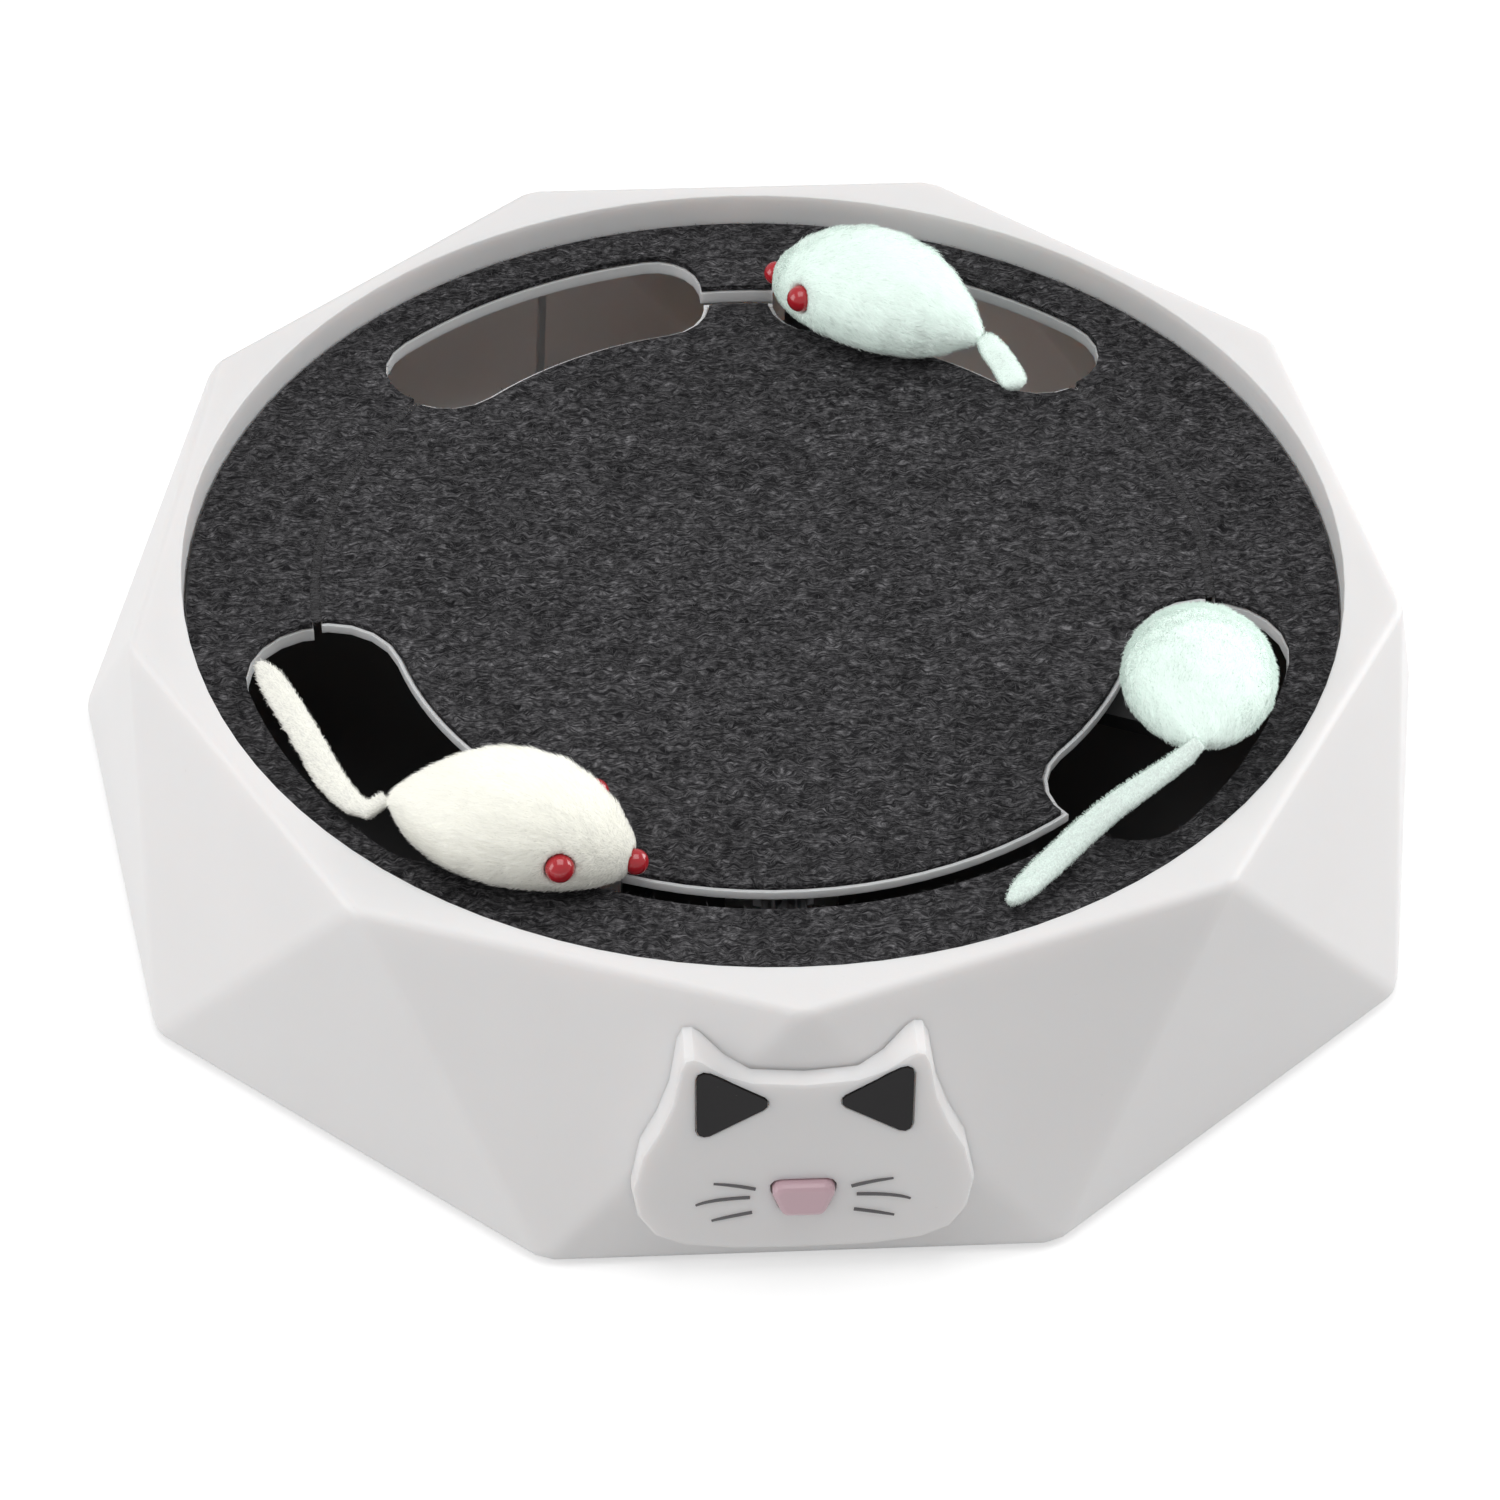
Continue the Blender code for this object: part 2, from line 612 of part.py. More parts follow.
def taken_shape(helper):
    """The shape of a helper object, which is removed."""
    shape = bmesh.new()
    shape.from_mesh(helper.data)
    bpy.data.objects.remove(helper)
    return shape


def ring_layer(name, finish, low, high, margin):
    """One layer of the deck outside the slot and the windows."""
    narrow = STEM_CIRCLE + STEM_THICKNESS / 2 + RUNNING_GAP
    made = place(name, disc(RIM_RADIUS - GAP - margin, low, high, ROUND_STEPS), finish)
    edge = slot_edge(STEM_CIRCLE + SLOT_OUTSIDE + margin, narrow + margin)
    combine(made, prism(edge, low - OVERRUN, high + OVERRUN))
    for window in (FRONT_WINDOW, BACK_WINDOW):
        for side in (-1, 1):
            combine(made, bean(window, side, low - OVERRUN, high + OVERRUN, margin))
    return made


def make_deck():
    """The disc, with a thin edge and a low lip round its felt, the ring, and the felt on both."""
    lip_top = DECK_TOP + LIP_HEIGHT
    edge_bottom = DECK_BOTTOM + UNDERCUT_DEPTH
    inner = disc_layer("deck_disc", "white_plastic", edge_bottom, lip_top, 0.0, 0.0)
    core = disc_layer("deck_core", "white_plastic", DECK_BOTTOM, (edge_bottom + DECK_TOP) / 2,
                      UNDERCUT_WIDTH, UNDERCUT_WIDTH)
    combine(inner, taken_shape(core), "UNION")
    bed = disc_layer("felt_bed", "white_plastic", DECK_TOP, lip_top + OVERRUN, FELT_MARGIN - GAP,
                     RING_FELT_MARGIN - GAP)
    combine(inner, taken_shape(bed))
    hole = [(0.0, DECK_BOTTOM - OVERRUN), (SCREW_RADIUS + GAP, DECK_BOTTOM - OVERRUN),
            (SCREW_RADIUS + GAP, DECK_TOP - SCREW_HEAD_HEIGHT - 2 * GAP),
            (SCREW_HEAD_RADIUS + GAP, DECK_TOP - SCREW_HEAD_HEIGHT - 2 * GAP),
            (SCREW_HEAD_RADIUS + GAP, DECK_TOP + OVERRUN), (0.0, DECK_TOP + OVERRUN)]
    combine(inner, turned(hole, 24))
    ring_layer("deck_ring", "white_plastic", DECK_BOTTOM, DECK_TOP, 0.0)
    disc_layer("felt_disc", "felt", FELT_BOTTOM, PAD_TOP, FELT_MARGIN, RING_FELT_MARGIN)
    ring_layer("felt_ring", "felt", FELT_BOTTOM, PAD_TOP, RING_FELT_MARGIN)


def screw(length, point_up):
    """A slotted screw with its head at z = 0 and its shank along +Z, or along -Z when turned over."""
    profile = [(0.0, 0.0), (SCREW_HEAD_RADIUS, 0.0), (SCREW_HEAD_RADIUS, SCREW_HEAD_HEIGHT),
               (SCREW_RADIUS, SCREW_HEAD_HEIGHT), (SCREW_RADIUS, length - SCREW_RADIUS),
               (0.0, length)]
    bm = turned(profile, 12)
    return bm if point_up else moved(bm, Matrix.Rotation(math.pi, 4, "X"))


def make_screw(name, spot, point_up):
    made = place(name, screw(SCREW_LENGTH, point_up), "steel", smooth=40)
    made.location = spot
    way = 1 if point_up else -1
    depth = way * SCREW_SLOT_DEPTH
    low, high = min(-way * OVERRUN, depth), max(-way * OVERRUN, depth)
    slot = block(2 * SCREW_HEAD_RADIUS + OVERRUN, SCREW_SLOT_WIDTH, low, high)
    combine(made, moved(slot, Matrix.Translation(spot)))
    return made


def make_base():
    lower_inradius = BOTTOM_RADIUS * math.cos(HALF_STEP)
    corner = (lower_inradius - SHELL_WALL) / math.cos(HALF_STEP) - PLATE_MARGIN
    step = 360 / SIDES
    outline = [tuple(polar(corner, (i + 0.5) * step))[:2] for i in range(SIDES)]
    base = place("base_plate", prism(outline, PLATE_BOTTOM, PLATE_TOP), "dark_plastic")
    centre = (0.0, BOX_CENTRE_Y)
    box = block(BOX_WIDTH + 2 * BOX_WALL, BOX_DEPTH + 2 * BOX_WALL, PLATE_BOTTOM, BOX_TOP, centre)
    combine(base, box, "UNION")
    combine(base, block(BOX_WIDTH, BOX_DEPTH, PLATE_BOTTOM - OVERRUN, BOX_CEILING, centre))
    recess_top = PLATE_BOTTOM + DOOR_THICKNESS + GAP
    recess_width, recess_depth = BOX_WIDTH + 2 * DOOR_LIP, BOX_DEPTH + 2 * DOOR_LIP
    combine(base, block(recess_width, recess_depth, PLATE_BOTTOM - OVERRUN, recess_top, centre))
    idler_top = PINION_BOTTOM - GAP
    combine(base, disc(IDLER_BOSS_RADIUS, PLATE_BOTTOM, idler_top, 20, (0.0, IDLER_Y)), "UNION")
    combine(base, disc(PIN_RADIUS + PIN_CLEARANCE, idler_top - PIN_SINK - GAP, idler_top + OVERRUN, 16,
                       (0.0, IDLER_Y)))
    for angle in FOOT_ANGLES:
        spot = polar(FOOT_CIRCLE, angle)
        pocket_top = PLATE_BOTTOM + FOOT_SINK + GAP
        combine(base, disc(FOOT_RADIUS + GAP, PLATE_BOTTOM - OVERRUN, pocket_top, 24, spot))
    for angle in BOSS_ANGLES:
        spot = polar(BOSS_CIRCLE, angle)
        head_top = PLATE_BOTTOM + SCREW_HEAD_HEIGHT + 2 * GAP
        profile = [(0.0, PLATE_BOTTOM - OVERRUN), (SCREW_HEAD_RADIUS + GAP, PLATE_BOTTOM - OVERRUN),
                   (SCREW_HEAD_RADIUS + GAP, head_top), (SCREW_RADIUS + GAP, head_top),
                   (SCREW_RADIUS + GAP, PLATE_TOP + OVERRUN), (0.0, PLATE_TOP + OVERRUN)]
        combine(base, turned(profile, 16, spot))


def make_feet_and_screws():
    for index, angle in enumerate(FOOT_ANGLES):
        spot = polar(FOOT_CIRCLE, angle)
        foot = disc(FOOT_RADIUS, 0.0, PLATE_BOTTOM + FOOT_SINK, 24)
        made = place(f"rubber_foot_{index + 1}", foot, "rubber", smooth=40)
        made.location = spot
    for index, angle in enumerate(BOSS_ANGLES):
        make_screw(f"housing_screw_{index + 1}", polar(BOSS_CIRCLE, angle, PLATE_BOTTOM + GAP), True)
    make_screw("centre_screw", Vector((0.0, 0.0, DECK_TOP - GAP)), False)


def make_post():
    top = LEDGE_TOP
    groove_low, groove_high = CLIP_BOTTOM - GAP, CLIP_BOTTOM + CLIP_THICKNESS + GAP
    groove = POST_RADIUS - CLIP_GROOVE_DEPTH
    hole_low = DECK_TOP - SCREW_LENGTH - OVERRUN
    profile = [(0.0, SEAT), (POST_FLANGE_RADIUS, SEAT), (POST_FLANGE_RADIUS, SEAT + POST_FLANGE_THICKNESS),
               (POST_SHOULDER_RADIUS, SEAT + POST_FLANGE_THICKNESS), (POST_SHOULDER_RADIUS, SHOULDER_TOP),
               (POST_RADIUS, SHOULDER_TOP), (POST_RADIUS, groove_low), (groove, groove_low),
               (groove, groove_high), (POST_RADIUS, groove_high), (POST_RADIUS, top),
               (SCREW_RADIUS + GAP, top), (SCREW_RADIUS + GAP, hole_low), (0.0, hole_low)]
    place("centre_post", turned(profile, HUB_STEPS), "nylon", smooth=40)
    washer_top = WASHER_BOTTOM + WASHER_THICKNESS
    washer = [(POST_RADIUS + GAP, WASHER_BOTTOM), (WASHER_RADIUS, WASHER_BOTTOM),
              (WASHER_RADIUS, washer_top), (POST_RADIUS + GAP, washer_top)]
    place("thrust_washer", turned(washer, HUB_STEPS), "steel", smooth=40)
    inner = groove + GAP
    sweep = 360 - CLIP_OPENING
    steps = 24
    angles = [CLIP_OPENING / 2 + sweep * i / steps for i in range(steps + 1)]
    outline = [tuple(polar(CLIP_RADIUS, angle))[:2] for angle in angles]
    outline += [tuple(polar(inner, angle))[:2] for angle in reversed(angles)]
    place("retaining_clip", prism(outline, CLIP_BOTTOM, CLIP_BOTTOM + CLIP_THICKNESS), "steel", smooth=40)


def gear_outline(teeth, module, backlash, tooth_at, flank_points):
    """A spur gear's outline with involute flanks. tooth_at is the angle of one tooth's centre."""
    pressure = math.radians(PRESSURE_ANGLE)
    pitch_radius = teeth * module / 2
    base_radius = pitch_radius * math.cos(pressure)
    root_radius = pitch_radius - 1.25 * module
    tip_radius = pitch_radius + module
    involute = math.tan(pressure) - pressure
    half_pitch = (math.pi * module / 2 - backlash) / (2 * pitch_radius)
    first = max(base_radius, root_radius)
    radii = [first + (tip_radius - first) * i / (flank_points - 1) for i in range(flank_points)]

    def half_angle(radius):
        slope = math.acos(min(1.0, base_radius / radius))
        return half_pitch + involute - (math.tan(slope) - slope)

    flank = [(radius, half_angle(radius)) for radius in radii]
    if root_radius < base_radius:
        flank.insert(0, (root_radius, half_angle(first)))
    points = []
    for tooth in range(teeth):
        centre = tooth_at + tooth * 2 * math.pi / teeth
        for radius, half in flank:
            points.append((radius * math.cos(centre - half), radius * math.sin(centre - half)))
        for radius, half in reversed(flank):
            points.append((radius * math.cos(centre + half), radius * math.sin(centre + half)))
    return points


def make_rotor(rotor):
    profile = [(HUB_INNER_RADIUS, HUB_BOTTOM), (HUB_FLANGE_RADIUS, HUB_BOTTOM),
               (HUB_FLANGE_RADIUS, HUB_BOTTOM + HUB_FLANGE_THICKNESS),
               (HUB_OUTER_RADIUS, HUB_BOTTOM + HUB_FLANGE_THICKNESS), (HUB_OUTER_RADIUS, ARM_TOP),
               (HUB_INNER_RADIUS, ARM_TOP)]
    spider = place("rotor_spider", turned(profile, HUB_STEPS), "dark_plastic", rotor, smooth=40)
    for mouse in MICE.values():
        turn = Matrix.Rotation(math.radians(mouse["stem"]), 4, "Z")
        start = (HUB_INNER_RADIUS + HUB_OUTER_RADIUS) / 2
        end = STEM_CIRCLE + ARM_END
        arm = block(end - start, ARM_WIDTH, ARM_BOTTOM, ARM_TOP, ((start + end) / 2, 0.0))
        combine(spider, moved(arm, turn), "UNION")
        socket = block(STEM_THICKNESS + 2 * GAP, STEM_WIDTH + 2 * GAP, ARM_TOP - ARM_SOCKET_DEPTH,
                       ARM_TOP + OVERRUN, (STEM_CIRCLE, 0.0))
        combine(spider, moved(socket, turn))
    outline = gear_outline(DRIVE_TEETH, DRIVE_MODULE, DRIVE_BACKLASH, -math.pi / 2, 3)
    gear = place("drive_gear", prism(outline, GEAR_BOTTOM, GEAR_TOP), "nylon", rotor)
    combine(gear, disc(HUB_OUTER_RADIUS + GAP, GEAR_BOTTOM - OVERRUN, GEAR_TOP + OVERRUN, 32))


def make_idler():
    outline = gear_outline(DRIVE_PINION_TEETH, DRIVE_MODULE, DRIVE_BACKLASH,
                           math.pi / 2 + math.pi / DRIVE_PINION_TEETH, 4)
    idler = place("idler_gear", prism(outline, PINION_BOTTOM, WHEEL_BOTTOM + WHEEL_THICKNESS / 2), "nylon")
    idler.location = (0.0, IDLER_Y, 0.0)
    wheel = gear_outline(MOTOR_WHEEL_TEETH, MOTOR_MODULE, MOTOR_BACKLASH, -math.pi / 2, 3)
    shift = Matrix.Translation((0.0, IDLER_Y, 0.0))
    combine(idler, moved(prism(wheel, WHEEL_BOTTOM, WHEEL_TOP), shift), "UNION")
    bore = disc(PIN_RADIUS + PIN_CLEARANCE, PINION_BOTTOM - OVERRUN, WHEEL_TOP + OVERRUN, 16)
    combine(idler, moved(bore, shift))
    pin_low = PINION_BOTTOM - GAP - PIN_SINK
    head = WHEEL_TOP + GAP
    profile = [(0.0, pin_low), (PIN_RADIUS, pin_low), (PIN_RADIUS, head), (PIN_HEAD_RADIUS, head),
               (PIN_HEAD_RADIUS, head + PIN_HEAD_THICKNESS), (0.0, head + PIN_HEAD_THICKNESS)]
    pin = place("idler_pin", turned(profile, 16), "steel", smooth=40)
    pin.location = (0.0, IDLER_Y, 0.0)


def make_motor():
    half_x, half_y = MOTOR_WIDTH / 2, MOTOR_DEPTH / 2
    corners = ((-half_x, -half_y), (half_x, -half_y), (half_x, half_y), (-half_x, half_y))
    top = MOTOR_TOP
    spot = Vector((0.0, MOTOR_Y, 0.0))
    motor = place("motor", prism(rounded(corners, MOTOR_CORNER, 4), SEAT, top), "steel", smooth=30)
    motor.location = spot
    shift = Matrix.Translation(spot)
    nose = disc(MOTOR_NOSE_RADIUS, top - MOTOR_NOSE_HEIGHT, top + MOTOR_NOSE_HEIGHT, 20)
    combine(motor, moved(nose, shift), "UNION")
    well = disc(SHAFT_RADIUS + GAP, top - SHAFT_SINK, top + MOTOR_NOSE_HEIGHT + OVERRUN, 16)
    combine(motor, moved(well, shift))
    outline = gear_outline(MOTOR_PINION_TEETH, MOTOR_MODULE, MOTOR_BACKLASH,
                           math.pi / 2 + math.pi / MOTOR_PINION_TEETH, 4)
    pinion = place("motor_pinion", prism(outline, WHEEL_BOTTOM - GAP, WHEEL_TOP + GAP), "steel")
    pinion.location = spot
    shaft = disc(SHAFT_RADIUS, top - SHAFT_SINK + GAP, WHEEL_TOP + PIN_HEAD_THICKNESS, 16)
    combine(pinion, moved(shaft, shift), "UNION")
    wall = BRACKET_WALL + GAP
    outer = [(x * (1 + wall / half_x), y * (1 + wall / half_y)) for x, y in corners]
    inner = [(x * (1 + GAP / half_x), y * (1 + GAP / half_y)) for x, y in corners]
    frame = rounded(outer, MOTOR_CORNER + wall, 4)
    opening = rounded(inner, MOTOR_CORNER + GAP, 4)
    bracket = place("motor_bracket", prism(frame, SEAT, SEAT + BRACKET_HEIGHT), "nylon", smooth=30)
    bracket.location = spot
    combine(bracket, moved(prism(opening, SEAT - OVERRUN, SEAT + BRACKET_HEIGHT + OVERRUN), shift))


def make_batteries():
    cell_height = BOX_FLOOR + CELL_RADIUS
    end = CELL_LENGTH / 2
    for index in range(CELL_COUNT):
        y = BOX_CENTRE_Y + (index - (CELL_COUNT - 1) / 2) * CELL_PITCH
        way = 1 if index % 2 else -1
        profile = [(0.0, -end), (CELL_RADIUS, -end), (CELL_RADIUS, end), (CELL_NUB_RADIUS, end),
                   (CELL_NUB_RADIUS, end + CELL_NUB_LENGTH), (0.0, end + CELL_NUB_LENGTH)]
        cell = place(f"battery_{index + 1}", turned(profile, 20), "cell_wrap", smooth=40)
        cell.rotation_euler = (0.0, way * math.pi / 2, 0.0)
        cell.location = (-way * CELL_NUB_LENGTH / 2, y, cell_height)
    for side, name in ((-1, "contact_plate_left"), (1, "contact_plate_right")):
        outer = side * (BOX_WIDTH / 2 - GAP)
        inner = outer - side * CONTACT_THICKNESS
        low = cell_height - CONTACT_HEIGHT / 2
        middle = ((outer + inner) / 2, BOX_CENTRE_Y)
        plate = block(CONTACT_THICKNESS, BOX_DEPTH - 2 * GAP, low, low + CONTACT_HEIGHT, middle)
        place(name, plate, "steel")
    width_door = BOX_WIDTH + 2 * (DOOR_LIP - GAP)
    depth_door = BOX_DEPTH + 2 * (DOOR_LIP - GAP)
    half = DOOR_THICKNESS / 2
    hinge_y = BOX_CENTRE_Y + depth_door / 2 - half
    hinge = axis_empty("battery_door_hinge", (0.0, hinge_y, PLATE_BOTTOM + half))
    turns = [math.pi * (i / DOOR_EDGE_STEPS - 0.5) for i in range(DOOR_EDGE_STEPS + 1)]
    side_view = [(half * math.cos(turn), half * math.sin(turn)) for turn in turns]
    side_view += [(half - depth_door, half), (half - depth_door, -half)]
    door = prism(side_view, -width_door / 2, width_door / 2)
    upright = Matrix(((0.0, 0.0, 1.0), (1.0, 0.0, 0.0), (0.0, 1.0, 0.0))).to_4x4()
    made = place("battery_door", moved(door, upright), "dark_plastic", hinge, smooth=40)
    bpy.context.view_layer.update()
    grip_y = half - depth_door + DOOR_GRIP_DEPTH
    grip_top = DOOR_GRIP_SINK - DOOR_THICKNESS / 2
    grip = block(DOOR_GRIP_WIDTH, DOOR_GRIP_DEPTH, -DOOR_THICKNESS, grip_top, (0.0, grip_y))
    combine(made, moved(grip, hinge.matrix_world))


def grown(corners, margin):
    """A triangle whose sides have moved outwards by a margin."""
    points = [Vector(corner) for corner in corners]
    sides = [(points[i - 2] - points[i - 1]).length for i in range(3)]
    middle = sum((point * side for point, side in zip(points, sides)), Vector((0.0, 0.0))) / sum(sides)
    first, second = points[1] - points[0], points[2] - points[0]
    inradius = abs(first.x * second.y - first.y * second.x) / sum(sides)
    return [tuple(middle + (point - middle) * (1 + margin / inradius)) for point in points]


def make_face(front):
    """The cat-face plate with its ear insets, and the nose button with its switch and board."""
    half = [(x * FACE_HALF_WIDTH, FACE_BOTTOM + y * FACE_HEIGHT) for x, y in FACE_OUTLINE_SHARES]
    outline = half + [(-x, y) for x, y in half[-2:0:-1]]
    bm = prism(outline, -PLATE_DEPTH, PLATE_PROUD)
    rim = [edge for edge in bm.edges if all(vert.co.z > PLATE_PROUD - GAP for vert in edge.verts)]
    bmesh.ops.bevel(bm, geom=rim, offset=FACE_ROUND, segments=2, profile=0.5, affect="EDGES",
                    clamp_overlap=True)
    plate = place("cat_face_plate", bm, "white_plastic", front, smooth=30)
    combine(plate, antiprism(-GAP))
    combine(plate, disc(2 * BOTTOM_RADIUS, -BOTTOM_RADIUS, FOOT_PROUD, SIDES))
    hole = prism(rounded(button_corners(GAP), BUTTON_CORNER_ROUND, 3), -PLATE_DEPTH, PLATE_PROUD + OVERRUN)
    combine(plate, moved(hole, front.matrix_world))
    for side, name in ((-1, "left_ear_inset"), (1, "right_ear_inset")):
        corners = [(side * x * FACE_HALF_WIDTH, FACE_BOTTOM + y * FACE_HEIGHT) for x, y in EAR_CORNER_SHARES]
        floor = PLATE_PROUD - EAR_SINK
        inset = prism(rounded(corners, EAR_CORNER_ROUND, 3), floor, floor + EAR_THICKNESS)
        place(name, inset, "ear_plastic", front, smooth=30)
        wider = rounded(grown(corners, GAP), EAR_CORNER_ROUND + GAP, 3)
        pocket = prism(wider, floor - GAP, PLATE_PROUD + OVERRUN)
        combine(plate, moved(pocket, front.matrix_world))


def make_button(front):
    """A crowned button on a flanged back, and a stem that ends on the switch."""
    outline = rounded(button_corners(0.0), BUTTON_CORNER_ROUND, 3)
    flange = rounded(button_corners(BUTTON_FLANGE), BUTTON_CORNER_ROUND, 3)
    flange_top = -GAP
    flange_low = flange_top - BUTTON_FLANGE_THICKNESS
    top = PLATE_PROUD + BUTTON_PROUD
    bm = prism(outline, (flange_top + flange_low) / 2, top)
    rim = [edge for edge in bm.edges if all(vert.co.z > top - GAP for vert in edge.verts)]
    bmesh.ops.bevel(bm, geom=rim, offset=BUTTON_CROWN, segments=2, profile=0.5, affect="EDGES",
                    clamp_overlap=True)
    button = place("nose_button", bm, "pink_plastic", front, smooth=30)
    bpy.context.view_layer.update()
    combine(button, moved(prism(flange, flange_low, flange_top), front.matrix_world), "UNION")
    centre = (0.0, (BUTTON_LOW + BUTTON_HIGH) / 2)
    stem_low = flange_low - BUTTON_STEM_LENGTH
    stem = disc(BUTTON_STEM_RADIUS, stem_low, (flange_low + flange_top) / 2, 16, centre)
    combine(button, moved(stem, front.matrix_world), "UNION")
    plunger_top = stem_low - BUTTON_TRAVEL - GAP
    body_top = plunger_top - SWITCH_PLUNGER_LENGTH
    board_top = body_top - SWITCH_DEPTH
    case = block(SWITCH_SIZE, SWITCH_SIZE, board_top + GAP, body_top, centre)
    switch = place("push_switch", case, "dark_plastic", front)
    plunger = disc(SWITCH_PLUNGER_RADIUS, body_top - GAP, plunger_top, 16, centre)
    combine(switch, moved(plunger, front.matrix_world), "UNION")
    board_low = board_top - BOARD_THICKNESS
    sheet = block(BOARD_WIDTH, BOARD_HEIGHT, board_low, board_top, centre)
    place("circuit_board", sheet, "board", front)
    return board_top


def make_board_posts(front, board_top):
    """Two posts on the housing's inner wall that hold the circuit board."""
    shell = bpy.data.objects["outer_shell"]
    centre_y = (BUTTON_LOW + BUTTON_HIGH) / 2
    for side in (-1, 1):
        x = side * (BOARD_WIDTH - BOARD_POST_WIDTH) / 2
        post = block(BOARD_POST_WIDTH, BOARD_POST_WIDTH, board_top + GAP, -SHELL_WALL / 2, (x, centre_y))
        combine(shell, moved(post, front.matrix_world), "UNION")


def body_ring(share_row):
    along, width_share, low_share, high_share = share_row
    x = NOSE_TO_STEM - along * MOUSE_LENGTH
    half_width = width_share * MOUSE_HALF_WIDTH
    low = MOUSE_CLEARANCE + low_share * MOUSE_HEIGHT
    high = MOUSE_CLEARANCE + high_share * MOUSE_HEIGHT
    waist = low + SECTION_WAIST_SHARE * (high - low)
    ring = []
    for i in range(BODY_STEPS):
        turn = (i + 0.5) * 2 * math.pi / BODY_STEPS
        across, lift = math.cos(turn), math.sin(turn)
        if lift < 0:
            across = math.copysign(abs(across) ** BELLY_POWER, across)
            ring.append((x, half_width * across, waist - (waist - low) * abs(lift) ** BELLY_POWER))
        else:
            ring.append((x, half_width * across, waist + (high - waist) * lift))
    return ring


def smooth_path(points, count):
    """Evenly parted points on a smooth curve through the given ones."""
    points = [Vector(point) for point in points]
    ends = [points[0] * 2 - points[1]] + points + [points[-1] * 2 - points[-2]]
    fine = []
    for i in range(1, len(ends) - 2):
        before, first, second, after = ends[i - 1:i + 3]
        for k in range(count):
            t = k / count
            fine.append(0.5 * (2 * first + (second - before) * t
                               + (2 * before - 5 * first + 4 * second - after) * t ** 2
                               + (3 * first - before - 3 * second + after) * t ** 3))
    fine.append(points[-1])
    lengths = [0.0]
    for first, second in zip(fine, fine[1:]):
        lengths.append(lengths[-1] + (second - first).length)
    result = []
    for k in range(count):
        goal = lengths[-1] * k / (count - 1)
        index = next((i for i, length in enumerate(lengths) if length >= goal), len(lengths) - 1)
        index = max(1, index)
        run = lengths[index] - lengths[index - 1]
        share = (goal - lengths[index - 1]) / run
        result.append(fine[index - 1].lerp(fine[index], min(1.0, max(0.0, share))))
    return result


def make_tail(name, finish, pivot, pitch, shares):
    """A flat plush tail, wide in the plane of the felt, from just behind the rump."""
    last = BODY_SHARES[-1]
    height = MOUSE_CLEARANCE + (last[2] + last[3]) / 2 * MOUSE_HEIGHT
    rump = NOSE_TO_STEM - MOUSE_LENGTH
    root = Matrix.Rotation(pitch, 3, "Y") @ Vector((rump - TAIL_GAP, 0.0, height))
    start = Vector((rump * math.cos(pitch), 0.0, 0.0))
    points = [root] + [start + Vector((-back, left, up)) * TAIL_LENGTH for back, left, up in shares]
    path = smooth_path(points, TAIL_RINGS)
    rings = []
    for i, point in enumerate(path):
        ahead = path[min(i + 1, len(path) - 1)] - path[max(i - 1, 0)]
        side = ahead.cross(Vector((0.0, 0.0, 1.0))).normalized()
        lift = side.cross(ahead).normalized()
        size = between(TAIL_WIDTH_SHARES, i / (len(path) - 1))
        ring = []
        for k in range(TAIL_STEPS):
            turn = 2 * math.pi * k / TAIL_STEPS
            ring.append(point + side * (TAIL_HALF_WIDTH * size * math.cos(turn))
                        + lift * (TAIL_HALF_THICKNESS * (0.5 + size / 2) * math.sin(turn)))
        rings.append(ring)
    tail = place(name, loft(rings), finish, None, smooth=60)
    tail.parent = pivot
    return tail


